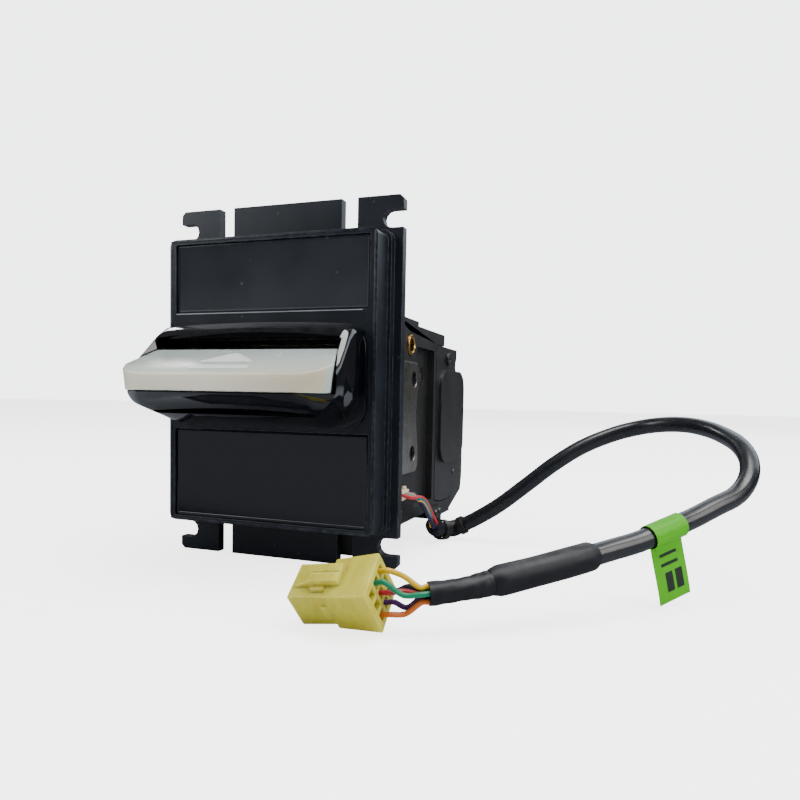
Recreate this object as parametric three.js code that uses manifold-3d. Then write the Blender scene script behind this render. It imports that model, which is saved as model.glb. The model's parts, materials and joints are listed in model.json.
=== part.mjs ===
// Bill validator for panel mounting: moulded front plate with a lit note entry,
// a note path with driven rubber rollers behind it, a lift-up note lid, a rear
// access cover and a captive harness that ends in a nine-way connector.
// Millimetres, +Z up. The front looks along -Y and +X is to the viewer's right.

import * as THREE from "three";
import { mergeVertices } from "three/addons/utils/BufferGeometryUtils.js";
import Module from "manifold-3d";

const wasm = await Module();
wasm.setup();

// ---- driving dimensions ----

const gap = 0.3; // between pieces that meet

// front plate, with its front face at y = 0
const plateHalf = 51;
const plateTall = 146.5;
const plateThick = 4;
const plateMidZ = plateTall / 2;
const tabRise = 12.5; // how far tabs and hooks stand above the plate's main part
const tabHalf = 24.9;
const hookInner = 31.7;
const slotWide = 7;
const slotDeep = 8.5;
const lipTall = 5.5;
const hookChamfer = 1.6;

// raised bezel on the plate
const bezelHalf = 46.2;
const bezelLow = 15.5;
const bezelHigh = 131;
const bezelFace = -13.8;
const bezelWall = 2.8;
const bezelRadius = 3;
const pocketDeep = 1.6;
const stepProud = 1.4; // the low step that the bezel stands on
const stepFace = -3.4;
const stepRadius = 3.5;
const rimWidth = 2.4; // between the bezel's side and its hollow
const hollowRadius = 2;
const upperPocket = { half: 43.2, low: 101, high: 128.8 };
const lowerPocket = { half: 43.5, low: 17.5, high: 54 };
const cableHole = { half: 8, low: 61.5, high: 66 };

// mouth hood and entry lens
const hoodBack = bezelFace - gap;
const lensFront = -50;
const lensBack = -30.4;
const lensTopFront = 75.3;
const lensTopBack = 85;
const lensBottom = 69;
const lensNoseHalf = 32.5;
const lensWideHalf = 43;
const lensWideY = -42;
const lensBackHalf = 38.6;
const hoodBackHalf = 41.8;
const hoodWideHalf = 44.8;
const hoodNoseHalf = 33.2;
const hoodFlange = { half: 43.3, low: 55, high: 95.6, radius: 9, thick: 2.6 };

// note path
const pathHalf = 37;
const bedTop = 86;
const bedThick = 2;
const slotTop = bedTop + 3.8;
const lidFace = 87.6;
const lidThick = 2;
const lidHalf = 39.4;
const lidFront = 11;
const lidRear = 76;

// chassis behind the plate
const bodyHalf = 46;
const bodyFront = plateThick + gap;
const bodyRear = 63.5;
const bodyTop = 102;
const lidTop = 100.5;
const hangRear = 76.6;
const innerHalf = 39.7;
const recessHalf = 42.5;
const frontPocketHalf = 43.5;
const pinRadius = 1.5;
const pinBore = pinRadius + gap;

// rear cover and its hinge
const hingeY = 82.5;
const hingeZ = 88.5;
const coverWall = 2.1;
const coverFront = 64.6;
const coverRear = 116;
const earSwing = 72;
const coverSwing = 71.5;

// drive train
const gearModule = 0.8;
const pinionTeeth = 12;
const reductionTeeth = 40;
const driveTeeth = 10;
const shaftZ = 78.3;
const shaftFrontY = 21;
const shaftRearY = 50;
const driveRadius = 8;
const pinchRadius = 5.3;
const pinchZ = shaftZ + driveRadius + gap + pinchRadius;
const rollerX = 20;
const driveRollerHalf = 4;
const pinchRollerHalf = 3.5;
const bushRadius = 4;
const shaftRadius = 2;
const gearLeft = -38.5;
const gearWide = 4;
const motorRadius = 12.1;
const motorEnds = [-30, -3];
const boreSmall = 1.3; // about the pinion, the wheel and the flap's pin

// worked out from the gears' pitch circles
const pitchOf = (teeth) => (gearModule * teeth) / 2;
const reductionY = (shaftFrontY + shaftRearY) / 2;
const meshDrive = pitchOf(reductionTeeth) + pitchOf(driveTeeth);
const reductionZ = shaftZ - Math.sqrt(meshDrive ** 2 - (reductionY - shaftFrontY) ** 2);
const motorZ = reductionZ - pitchOf(reductionTeeth) - pitchOf(pinionTeeth);

// harness
const cableRadius = 3.5;
const exitBundleRadius = 2.7;
const exitSleeveRadius = 3.9;
const endBundleRadius = 4.2;
const endSleeveRadius = 3.4;
const shrinkRadius = 4.6;
const cableSides = 10;

// the whole object is centred on its own depth, without the harness
const frameFront = lensFront;
const frameRear = coverRear;
const frameMidY = (frameFront + frameRear) / 2;

// ---- finishes ----

const finishes = {
  satinBlack: { color: 0x23262c, roughness: 0.5, metalness: 0 },
  glossBlack: { color: 0x0b0b0e, roughness: 0.08, metalness: 0 },
  bodyBlack: { color: 0x1d1e20, roughness: 0.6, metalness: 0 },
  milky: { color: 0xcfd6d2, roughness: 0.25, metalness: 0 },
  board: { color: 0x1d5a34, roughness: 0.5, metalness: 0 },
  chip: { color: 0x17181a, roughness: 0.45, metalness: 0 },
  redSwitch: { color: 0xa82a22, roughness: 0.4, metalness: 0 },
  nickel: { color: 0xa9a49b, roughness: 0.25, metalness: 1 },
  steel: { color: 0x9fa3a6, roughness: 0.3, metalness: 1 },
  brass: { color: 0xc89a4a, roughness: 0.3, metalness: 1 },
  rubber: { color: 0x2b2b2c, roughness: 0.85, metalness: 0 },
  acetal: { color: 0xe4e0d4, roughness: 0.4, metalness: 0 },
  cream: { color: 0xe6dcc0, roughness: 0.5, metalness: 0 },
  cablePvc: { color: 0x141416, roughness: 0.35, metalness: 0 },
  shrinkBlack: { color: 0x0f1012, roughness: 0.5, metalness: 0 },
  labelGreen: { color: 0x5fe03c, roughness: 0.5, metalness: 0 },
  wires: { color: 0xc2403a, roughness: 0.45, metalness: 0 },
  nylon: { color: 0xd6d692, roughness: 0.45, metalness: 0 },
};

// ---- solids ----

// closed geometry to solid, with vertices merged by place
function solidOf(geometry) {
  const plain = geometry.clone();
  plain.deleteAttribute("normal");
  plain.deleteAttribute("uv");
  const merged = mergeVertices(plain, 1e-4);
  const vertProperties = Float32Array.from(merged.attributes.position.array);
  const triVerts = Uint32Array.from(merged.index.array);
  return new wasm.Manifold(new wasm.Mesh({ numProp: 3, vertProperties, triVerts }));
}

// solid back to geometry
function geometryOf(solid) {
  const mesh = solid.getMesh();
  const geometry = new THREE.BufferGeometry();
  geometry.setAttribute("position", new THREE.BufferAttribute(mesh.vertProperties, 3));
  geometry.setIndex(new THREE.BufferAttribute(mesh.triVerts, 1));
  geometry.computeVertexNormals();
  return geometry;
}

function joined(first, ...others) {
  return others.reduce((sum, next) => sum.add(next), first);
}

function cut(first, ...others) {
  return others.reduce((left, next) => left.subtract(next), first);
}

// block between two corners
function block(x0, x1, y0, y1, z0, z1) {
  const geometry = new THREE.BoxGeometry(x1 - x0, y1 - y0, z1 - z0);
  geometry.translate((x0 + x1) / 2, (y0 + y1) / 2, (z0 + z1) / 2);
  return solidOf(geometry);
}

// the same block on both sides of the middle plane is one block across it
function across(half, y0, y1, z0, z1) {
  return block(-half, half, y0, y1, z0, z1);
}

function extruded(shape, depth, curveSegments = 6) {
  const options = { depth, steps: 1, bevelEnabled: false, curveSegments };
  return new THREE.ExtrudeGeometry(shape, options);
}

function shapeOf(points) {
  return new THREE.Shape(points.map(([a, b]) => new THREE.Vector2(a, b)));
}

// side outline of [y, z] points, pulled along X
function alongX(shape, x0, x1) {
  const geometry = extruded(shape, x1 - x0);
  const turn = new THREE.Matrix4().makeBasis(
    new THREE.Vector3(0, 1, 0),
    new THREE.Vector3(0, 0, 1),
    new THREE.Vector3(1, 0, 0),
  );
  geometry.applyMatrix4(turn);
  geometry.translate(x0, 0, 0);
  return solidOf(geometry);
}

// front outline of [x, z] points, pulled along Y
function alongY(shape, y0, y1) {
  const geometry = extruded(shape, y1 - y0);
  geometry.rotateX(Math.PI / 2);
  geometry.translate(0, y1, 0);
  return solidOf(geometry);
}

// plan outline of [x, y] points, pulled along Z
function alongZ(shape, z0, z1) {
  const geometry = extruded(shape, z1 - z0);
  geometry.translate(0, 0, z0);
  return solidOf(geometry);
}

// rod along X
function rodX(radius, x0, x1, y, z, sides = 20) {
  const geometry = new THREE.CylinderGeometry(radius, radius, x1 - x0, sides);
  geometry.rotateZ(Math.PI / 2);
  geometry.translate((x0 + x1) / 2, y, z);
  return solidOf(geometry);
}

// ring along X with a round bore
function ringX(outer, inner, x0, x1, y, z, sides = 20) {
  return cut(rodX(outer, x0, x1, y, z, sides), rodX(inner, x0 - 1, x1 + 1, y, z, sides));
}

// rectangle from a0 to a1 and b0 to b1 with round corners
function roundedShape(a0, a1, b0, b1, radius) {
  const shape = new THREE.Shape();
  shape.moveTo(a0 + radius, b0);
  shape.lineTo(a1 - radius, b0);
  shape.absarc(a1 - radius, b0 + radius, radius, -Math.PI / 2, 0, false);
  shape.lineTo(a1, b1 - radius);
  shape.absarc(a1 - radius, b1 - radius, radius, 0, Math.PI / 2, false);
  shape.lineTo(a0 + radius, b1);
  shape.absarc(a0 + radius, b1 - radius, radius, Math.PI / 2, Math.PI, false);
  shape.lineTo(a0, b0 + radius);
  shape.absarc(a0 + radius, b0 + radius, radius, Math.PI, Math.PI * 1.5, false);
  return shape;
}

// outline given on the +X side only, mirrored to the other side
function mirroredShape(halfPoints) {
  const other = halfPoints.map(([x, b]) => [-x, b]).reverse();
  return shapeOf([...halfPoints, ...other]);
}

// round section swept through points
function tubeAlong(points, radius, steps, sides = cableSides) {
  const section = new THREE.Shape();
  for (let i = 0; i < sides; i += 1) {
    const angle = (i / sides) * Math.PI * 2;
    const [a, b] = [radius * Math.cos(angle), radius * Math.sin(angle)];
    if (i === 0) section.moveTo(a, b);
    else section.lineTo(a, b);
  }
  section.closePath();
  const extrudePath = new THREE.CatmullRomCurve3(points, false, "centripetal");
  return solidOf(new THREE.ExtrudeGeometry(section, { steps, bevelEnabled: false, extrudePath }));
}

// ---- scene graph ----

const validator = new THREE.Group();
validator.position.y = -frameMidY;

function addPart(name, solid, finish) {
  const mesh = new THREE.Mesh(geometryOf(solid), new THREE.MeshStandardMaterial(finishes[finish]));
  mesh.name = name;
  validator.add(mesh);
}

const sideNames = { right: 1, left: -1 };

// place along X on one side, with the ends put in rising order
function onSide(sign, near, far) {
  return sign > 0 ? [near, far] : [-far, -near];
}

// ---- front plate ----

// upper right quarter of the plate outline, from the tab's middle out to the side
function quarterOutline() {
  const points = [];
  const rise = plateTall / 2;
  const main = rise - tabRise;
  const slotEnd = plateHalf - slotDeep + slotWide / 2;
  const notchTop = rise - lipTall;
  const notchMid = notchTop - slotWide / 2;
  points.push([tabHalf, rise], [tabHalf, main], [hookInner, main], [hookInner, rise]);
  points.push([plateHalf - hookChamfer, rise], [plateHalf, rise - hookChamfer], [plateHalf, notchTop]);
  for (let i = 0; i <= 6; i += 1) {
    const angle = Math.PI / 2 + (i / 6) * Math.PI;
    points.push([
      slotEnd + (slotWide / 2) * Math.cos(angle),
      notchMid + (slotWide / 2) * Math.sin(angle),
    ]);
  }
  points.push([plateHalf, notchTop - slotWide]);
  return points;
}

function plateSolid() {
  const upper = quarterOutline();
  const lower = upper.map(([x, z]) => [x, -z]).reverse();
  const right = [...upper, ...lower].map(([x, z]) => [x, z + plateMidZ]);
  const slab = alongY(mirroredShape(right), 0, plateThick);
  const bezel = alongY(
    roundedShape(-bezelHalf, bezelHalf, bezelLow, bezelHigh, bezelRadius), bezelFace, 0.5);
  const stepHalf = bezelHalf + stepProud;
  const step = alongY(
    roundedShape(-stepHalf, stepHalf, bezelLow - stepProud, bezelHigh + stepProud, stepRadius),
    stepFace, 0.5);
  const inside = bezelHalf - rimWidth;
  const hollow = alongY(
    roundedShape(-inside, inside, bezelLow + rimWidth, bezelHigh - rimWidth, hollowRadius),
    bezelFace + bezelWall, plateThick + 1);
  const pockets = [upperPocket, lowerPocket].map(({ half, low, high }) =>
    across(half, bezelFace - 1, bezelFace + pocketDeep, low, high));
  const noteSlot = across(pathHalf, bezelFace - 1, plateThick, bedTop - 1.4, slotTop);
  const wireSlot = across(cableHole.half, bezelFace - 1, 0, cableHole.low, cableHole.high);
  return cut(joined(slab, bezel, step), hollow, ...pockets, noteSlot, wireSlot);
}

addPart("mounting_plate", plateSolid(), "satinBlack");

const panelBack = bezelFace + pocketDeep - gap;
const panelThick = 0.6;

function panelIn({ half, low, high }) {
  return across(half - gap, panelBack - panelThick, panelBack, low + gap, high - gap);
}

addPart("upper_panel", panelIn(upperPocket), "satinBlack");
addPart("lower_panel", panelIn(lowerPocket), "glossBlack");

// ---- mouth ----

// wedge-shaped lens, grown by an even margin where the hood makes room for it
function lensSolid(margin) {
  const side = shapeOf([
    [lensFront - margin, lensBottom - margin],
    [lensBack + margin, lensBottom - margin],
    [lensBack + margin, lensTopBack + margin],
    [lensFront - margin, lensTopFront + margin],
  ]);
  const plan = mirroredShape([
    [lensBackHalf + margin, lensBack + margin + 1],
    [lensWideHalf + margin, lensWideY],
    [lensNoseHalf + margin, lensFront - margin],
  ].reverse());
  return alongX(side, -45, 45).intersect(alongZ(plan, 60, 95));
}

function hoodSolid() {
  const side = shapeOf([
    [hoodBack, 55.5], [-26, 56.3], [-38, 60], [-47, 66.2], [lensFront + 0.2, 68.8],
    [lensFront + 0.2, 69.6], [-43.5, 76], [-34, 84], [-28, 92], [-25, 95.2], [hoodBack, 96.6],
  ]);
  const plan = mirroredShape([
    [hoodBackHalf, hoodBack], [hoodBackHalf, -28], [hoodWideHalf, -41.5],
    [hoodNoseHalf, lensFront - 0.2],
  ].reverse());
  const front = new THREE.Shape();
  front.moveTo(-30, 55);
  front.lineTo(30, 55);
  front.quadraticCurveTo(45, 58, 45, 72);
  front.lineTo(45, 86);
  front.quadraticCurveTo(44, 95, 24, 96.2);
  front.lineTo(-24, 96.2);
  front.quadraticCurveTo(-44, 95, -45, 86);
  front.lineTo(-45, 72);
  front.quadraticCurveTo(-45, 58, -30, 55);
  const { half, low, high, radius, thick } = hoodFlange;
  const flange = alongY(roundedShape(-half, half, low, high, radius), hoodBack - thick, hoodBack);
  const body = alongX(side, -46, 46)
    .intersect(alongZ(plan, 50, 100))
    .intersect(alongY(front, -60, 0));
  const mouthSide = shapeOf([
    [-60, lensTopFront - 4], [lensBack, lensTopBack + gap], [-10, lensTopBack + gap],
    [-10, slotTop + 0.2], [-27, 91.8], [-60, 91.8],
  ]);
  const mouthPlan = mirroredShape([
    [lensBackHalf + gap, -10], [lensBackHalf + gap, lensBack],
    [lensWideHalf + gap, lensWideY - 0.2], [lensWideHalf + gap, -60],
  ].reverse());
  const mouth = alongX(mouthSide, -45, 45).intersect(alongZ(mouthPlan, 60, 110));
  const underLens = across(34, -40, -10, 60.5, lensBottom);
  return cut(joined(flange, body), lensSolid(gap), mouth, underLens);
}

addPart("mouth_hood", hoodSolid(), "glossBlack");
addPart("entry_lens", lensSolid(0), "milky");
addPart("entry_led_board", across(32, -38, -18, 63, 64.6), "board");

// ---- chassis ----

// top edge of the lower ears, an arc about the rear cover's hinge
function swingArc(radius, yFrom, yTo) {
  const points = [];
  for (let i = 0; i <= 5; i += 1) {
    const y = yFrom + ((yTo - yFrom) * i) / 5;
    points.push([y, hingeZ - Math.sqrt(radius ** 2 - (y - hingeY) ** 2)]);
  }
  return points;
}

const insertY = 26;
const insertZ = 91;
const insertOuter = 4.8;
const lidPinY = 13.5;
const lidPinZ = 95.8;
const floorTop = 17;

function chassisSolid() {
  const wallOutline = shapeOf([
    [bodyFront, 15], [62, 15], [62, 10], [92, 10], ...swingArc(earSwing, 92, bodyRear),
    [bodyRear, 94.6], [hangRear, 94.6], [hangRear, 100], [36, 100], [36, bodyTop],
    [bodyFront, bodyTop],
  ]);
  const shell = alongX(wallOutline, -bodyHalf, bodyHalf);
  const lidRoom = across(innerHalf, bodyFront + 2.2, 80, 83.7, 110);
  const lowRoom = across(innerHalf, bodyFront + 2.2, bodyRear - 2, floorTop, 84);
  const tailRoom = across(bodyHalf - 2, bodyRear, 93, 12.2, 40);
  const sides = [];
  for (const sign of Object.values(sideNames)) {
    sides.push(block(...onSide(sign, innerHalf - 1, frontPocketHalf), 8, 30, 32, 75));
    sides.push(block(...onSide(sign, recessHalf, bodyHalf + 1), 34, 60, 20, 91));
    sides.push(rodX(insertOuter + gap, ...onSide(sign, 40.8, bodyHalf + 1), insertY, insertZ));
    sides.push(rodX(1.3, ...onSide(sign, innerHalf - 1, bodyHalf + 1), 24.5, 98, 10));
    sides.push(rodX(pinBore, ...onSide(sign, innerHalf - 1, bodyHalf + 1), lidPinY, lidPinZ, 12));
    for (const y of [shaftFrontY, shaftRearY]) {
      sides.push(rodX(bushRadius + gap, ...onSide(sign, innerHalf - 1, bodyHalf + 1), y, shaftZ));
    }
  }
  const headerRoom = block(39, bodyHalf + 1, 11.5, 22.5, 24.5, 31.5);
  const noteSlot = across(pathHalf + 0.5, 0, 10, bedTop - 2.3, slotTop);
  const wireSlot = across(cableHole.half, 0, 10, cableHole.low, cableHole.high);
  const boardWindow = across(20, bodyRear - 3, bodyRear + 1, 26, 70);
  const foot = block(-34, 12, 84, 90, 0, 11);
  const duct = block(22, 36, bodyFront, 8, 3, 16);
  const ears = [];
  for (const sign of Object.values(sideNames)) {
    const arm = block(...onSide(sign, 40, 43.4), bodyRear - 2, hingeY, 82.4, 87);
    const boss = rodX(3.4, ...onSide(sign, 40, 43.4), hingeY, hingeZ, 16);
    const bore = rodX(pinBore, ...onSide(sign, 39, 44), hingeY, hingeZ, 12);
    ears.push(cut(joined(arm, boss), bore));
  }
  const hollowed = cut(shell, lidRoom, lowRoom, tailRoom, ...sides, headerRoom, noteSlot,
    wireSlot, boardWindow);
  return joined(hollowed, foot, duct, ...ears);
}

addPart("chassis", chassisSolid(), "bodyBlack");

const bracketInner = bodyHalf + gap;
const bracketOuter = bracketInner + 1.2;

// plated strip with two holes and a waisted rear edge
function bracketSolid(sign) {
  const outline = shapeOf([
    [9, 36.5], [30.5, 36.5], [33, 39], [33, 47], [31, 55], [30.4, 62], [31, 69], [33.2, 76],
    [33.2, 81], [30.7, 83.5], [9, 83.5],
  ]);
  const strip = alongX(outline, ...onSide(sign, bracketInner, bracketOuter));
  const holes = [[27, 76.3], [26, 44.4]].map(([y, z]) =>
    rodX(3.4, ...onSide(sign, bracketInner - 1, bracketOuter + 1), y, z));
  return cut(strip, ...holes);
}

for (const [side, sign] of Object.entries(sideNames)) {
  addPart(`bracket_${side}`, bracketSolid(sign), "nickel");
  addPart(
    `insert_${side}`,
    ringX(insertOuter, 2.7, ...onSide(sign, 41.1, bodyHalf + 0.8), insertY, insertZ),
    "brass",
  );
}

// ---- note path ----

// openings for four rollers, each given by half its width and half its length
function rollerWindows(half, reach, z0, z1) {
  const windows = [];
  for (const x of [-rollerX, rollerX]) {
    for (const y of [shaftFrontY, shaftRearY]) {
      windows.push(block(x - half, x + half, y - reach, y + reach, z0, z1));
    }
  }
  return windows;
}

const flapY = 87;
const flapZ = 90;

function bedSolid() {
  const plate = joined(
    across(innerHalf - gap, bodyFront + 2.5, bodyRear, bedTop - bedThick, bedTop),
    across(38.8, bodyRear - 1, 96, bedTop - bedThick, bedTop),
  );
  const headWindow = across(6.3, 30.7, 40.3, 80, 90);
  const cheeks = Object.values(sideNames).map((sign) => {
    const cheek = block(...onSide(sign, 36.5, 38.5), 83, 91, bedTop - 1, 91.6);
    return cut(cheek, rodX(boreSmall, ...onSide(sign, 35, 40), flapY, flapZ, 12));
  });
  const windows = rollerWindows(driveRollerHalf + 1, 6.4, 80, 90);
  return joined(cut(plate, ...windows, headWindow), ...cheeks);
}

function lidSolid() {
  const floor = across(lidHalf, lidFront, lidRear, lidFace, lidFace + lidThick);
  const flanges = Object.values(sideNames).map((sign) => {
    const flange = block(...onSide(sign, lidHalf - 2, lidHalf), lidFront, lidRear, lidFace, 98.6);
    const bores = [[lidPinY, lidPinZ], [shaftFrontY, pinchZ], [shaftRearY, pinchZ]].map(([y, z]) =>
      rodX(pinBore, ...onSide(sign, 36, 41), y, z, 12));
    return cut(flange, ...bores);
  });
  const windows = rollerWindows(pinchRollerHalf + 1, 5.3, lidFace - 1, lidFace + 4);
  return cut(joined(floor, ...flanges), ...windows);
}

const buttonY = 70;
const buttonHalf = 8;
const buttonReach = 4;

function capSolid() {
  const plate = across(lidHalf, lidFront, lidRear, 98.9, lidTop);
  const reach = buttonReach + gap;
  const buttonHole = across(buttonHalf + gap, buttonY - reach, buttonY + reach, 98, 102);
  return cut(plate, buttonHole);
}

// button that slides down against its spring to free the lid
function latchSolid() {
  const pad = across(buttonHalf, buttonY - buttonReach, buttonY + buttonReach, 97, 101.3);
  const stem = across(2, buttonY - 2, buttonY + 2, 94.6, 97.2);
  return joined(pad, stem);
}

const spring = { radius: 3.2, wire: 0.35, foot: 90.2, tall: 6.2, turns: 4, perTurn: 8 };

function springSolid() {
  const coil = [];
  const steps = spring.turns * spring.perTurn;
  for (let i = 0; i <= steps; i += 1) {
    const angle = (i / spring.perTurn) * Math.PI * 2;
    const height = spring.foot + (i / steps) * spring.tall;
    const [x, y] = [spring.radius * Math.cos(angle), buttonY + spring.radius * Math.sin(angle)];
    coil.push(new THREE.Vector3(x, y, height));
  }
  return tubeAlong(coil, spring.wire, steps, 5);
}

addPart("note_bed", bedSolid(), "bodyBlack");
addPart("note_lid", lidSolid(), "bodyBlack");
addPart("lid_cap", capSolid(), "bodyBlack");
addPart("lid_pin", rodX(pinRadius, 0.4 - bodyHalf, bodyHalf - 0.4, lidPinY, lidPinZ, 12), "steel");
addPart("lid_latch_button", latchSolid(), "satinBlack");
addPart("latch_spring", springSolid(), "steel");
addPart("lower_sensor_board", across(32, 30, 41, 80.2, 81.6), "board");
addPart("upper_sensor_board", across(34, 28, 43, 90.1, 91.5), "board");
addPart("magnetic_head", across(6, 31, 40, 81.9, bedTop + 0.3), "steel");

// ---- drive train ----

// toothed outline about the origin; phase is where one tooth's middle stands
function gearShape(teeth, phase, bore) {
  const pitch = pitchOf(teeth);
  const root = pitch - 1.15 * gearModule;
  const tip = pitch + 0.75 * gearModule;
  const step = (Math.PI * 2) / teeth;
  const shape = new THREE.Shape();
  for (let i = 0; i < teeth; i += 1) {
    const mid = phase + i * step;
    const corners = [[root, -0.28], [tip, -0.1], [tip, 0.1], [root, 0.28]];
    corners.forEach(([radius, part], k) => {
      const angle = mid + part * step;
      const [a, b] = [radius * Math.cos(angle), radius * Math.sin(angle)];
      if (i === 0 && k === 0) shape.moveTo(a, b);
      else shape.lineTo(a, b);
    });
  }
  shape.closePath();
  const hole = new THREE.Path();
  hole.absarc(0, 0, bore, 0, Math.PI * 2, true);
  shape.holes.push(hole);
  return shape;
}

function gearSolid(teeth, phase, bore, y, z) {
  return alongX(gearShape(teeth, phase, bore), gearLeft, gearLeft + gearWide).translate([0, y, z]);
}

// phase of a follower in mesh with a driver, looking from driver to follower
function meshedPhase(driverPhase, driverTeeth, followerTeeth, direction) {
  const lead = driverPhase - direction;
  return direction + Math.PI - Math.PI / followerTeeth - (lead * driverTeeth) / followerTeeth;
}

const upward = Math.PI / 2;
const reductionPhase = meshedPhase(upward, pinionTeeth, reductionTeeth, upward);

function addDriveShaft(place, y) {
  const direction = Math.atan2(shaftZ - reductionZ, y - reductionY);
  const phase = meshedPhase(reductionPhase, reductionTeeth, driveTeeth, direction);
  const bore = shaftRadius + gap;
  addPart(`drive_shaft_${place}`, rodX(shaftRadius, -42.2, 42.2, y, shaftZ, 16), "steel");
  addPart(`drive_gear_${place}`, gearSolid(driveTeeth, phase, bore, y, shaftZ), "acetal");
  for (const [side, sign] of Object.entries(sideNames)) {
    const [x0, x1] = [sign * rollerX - driveRollerHalf, sign * rollerX + driveRollerHalf];
    addPart(`drive_roller_${place}_${side}`, ringX(driveRadius, bore, x0, x1, y, shaftZ), "rubber");
    addPart(
      `shaft_bush_${place}_${side}`,
      ringX(bushRadius, bore, ...onSide(sign, 39.9, 42.2), y, shaftZ, 16),
      "acetal",
    );
  }
}

addDriveShaft("front", shaftFrontY);
addDriveShaft("rear", shaftRearY);

addPart(
  "reduction_gear",
  gearSolid(reductionTeeth, reductionPhase, pinBore, reductionY, reductionZ),
  "acetal",
);
addPart("gear_stud", rodX(pinRadius, -39.4, -33, reductionY, reductionZ, 12), "steel");
addPart("motor_pinion", gearSolid(pinionTeeth, upward, boreSmall, reductionY, motorZ), "brass");
addPart("motor_shaft", rodX(1, gearLeft, 4.5, reductionY, motorZ, 10), "steel");
addPart("motor", ringX(motorRadius, 1.4, ...motorEnds, reductionY, motorZ, 24), "steel");

const wheelRadius = 9;
addPart("encoder_wheel", ringX(wheelRadius, boreSmall, 2, 3, reductionY, motorZ, 24), "chip");

function encoderSensorSolid() {
  const body = block(-0.5, 5.5, reductionY - 4, reductionY + 4, floorTop + gap, motorZ - 6);
  return cut(body, block(1.2, 3.8, reductionY - 5, reductionY + 5, motorZ - wheelRadius - 1, motorZ));
}
addPart("encoder_sensor", encoderSensorSolid(), "chip");

// pinch rollers run in the lid above the driven ones
for (const [place, y] of [["front", shaftFrontY], ["rear", shaftRearY]]) {
  const core = rodX(pinRadius, -38.9, 38.9, y, pinchZ, 12);
  const rollers = [-rollerX, rollerX].map((x) =>
    rodX(pinchRadius, x - pinchRollerHalf, x + pinchRollerHalf, y, pinchZ, 16));
  addPart(`pinch_rollers_${place}`, joined(core, ...rollers), "acetal");
}

// ---- anti-pullback flap at the note exit ----

function flapSolid() {
  const pin = rodX(1, -38, 38, flapY, flapZ, 10);
  const leaf = alongX(
    shapeOf([[flapY - 0.6, flapZ - 0.8], [flapY + 6.3, bedTop + 0.3], [flapY + 7.1, bedTop + 0.4],
      [flapY + 0.6, flapZ + 0.8]]),
    -34, 34);
  return joined(pin, leaf);
}
addPart("pullback_flap", flapSolid(), "bodyBlack");

// ---- boards ----

const boardFront = bodyRear + 0.5;
const boardThick = 1.6;
const chipFoot = boardFront + boardThick + gap;
addPart("main_board", across(42, boardFront, boardFront + boardThick, 22, 80), "board");
addPart("board_processor", across(8, chipFoot, chipFoot + 1.6, 44, 60), "chip");
addPart("dip_switch", block(20, 30, chipFoot, chipFoot + 3, 30, 36), "redSwitch");

// ---- rear cover ----

function coverOutline(inset) {
  const [top, low] = [94.3 - inset, 80 - inset];
  const upperRear = 100 - inset;
  const rear = coverRear - inset;
  return shapeOf([
    ...swingArc(coverSwing, 92.6, coverFront), [coverFront, top], [upperRear, top], [upperRear, 89.5],
    [upperRear - 1.6, 87.5], [upperRear - 1.8, 84.5], [upperRear + 0.4, 82 - inset / 2],
    [upperRear + 6, low + 0.6], [rear, low], [rear, 26], [rear - 2.2, 18.7 + inset / 2],
    [92.6, 11.6 + inset],
  ]);
}

function coverSolid() {
  const outer = alongX(coverOutline(0), -bodyHalf, bodyHalf);
  const pad = alongX(roundedShape(68, 111, 36.5, 83, 10), -bodyHalf - 1.7, bodyHalf + 1.7);
  const inner = alongX(coverOutline(coverWall), -bodyHalf + coverWall, bodyHalf - coverWall);
  const mouth = across(bodyHalf - coverWall, 60, 80.5, 10, 95);
  const tail = across(bodyHalf - coverWall, 60, 92.7, 5, 60);
  const exitSlot = across(pathHalf, 90, 104, 82.4, 88.6);
  const bore = rodX(pinBore, -50, 50, hingeY, hingeZ, 12);
  return cut(joined(outer, pad), inner, mouth, tail, exitSlot, bore);
}

addPart("rear_cover", coverSolid(), "bodyBlack");

for (const [side, sign] of Object.entries(sideNames)) {
  const pin = rodX(pinRadius, ...onSide(sign, 40.2, bodyHalf + 1), hingeY, hingeZ, 12);
  const head = rodX(3.2, ...onSide(sign, bodyHalf + gap, bodyHalf + 1.5), hingeY, hingeZ, 16);
  addPart(`cover_pin_${side}`, joined(pin, head), "bodyBlack");
}

// ---- harness ----

// box header with its open side facing out of the chassis
function headerSolid() {
  const body = block(40.5, 46.6, 12, 22, 25, 31);
  return cut(body, block(43, 48, 13, 21, 26, 30));
}
addPart("wire_header", headerSolid(), "cream");

const exitBundle = [
  [49.9, 16.8, 28], [51, 22, 26.2], [52, 33, 20.5], [51.4, 43, 13.8], [50.5, 49.9, 9.8],
];

// the harness from where it leaves the chassis to the connector's wire end
const harnessPoints = [
  [50.4, 50.4, 9.5], [50.2, 56, 6.9], [50.8, 61.8, 5.3], [53.2, 66.4, 5], [57.6, 68.7, 6.2],
  [66, 68.2, 10.6], [78, 66.8, 18.6], [90, 68, 28.5], [102.5, 71, 39], [115, 75.5, 47.5],
  [128.5, 79.5, 53.6], [140, 80.4, 57], [150.5, 77, 58.8], [160, 70, 59], [167.5, 61, 57.6],
  [173, 51, 55.2], [176.6, 41, 52.4], [178.6, 31, 47.8], [177.6, 22.3, 42], [173, 14, 36.4],
  [165.5, 6, 33], [157, -2.6, 29.2], [148.4, -11.5, 26.2], [140.5, -18.6, 23.2],
  [132, -26, 21.2], [122.6, -35.3, 19.2], [111.6, -44.5, 16.8], [101.9, -52.9, 15],
  [94.5, -58.8, 13.6], [84.4, -64.8, 12.4], [77.4, -68.5, 12.9], [72.5, -69.05, 12.5],
];

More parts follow.
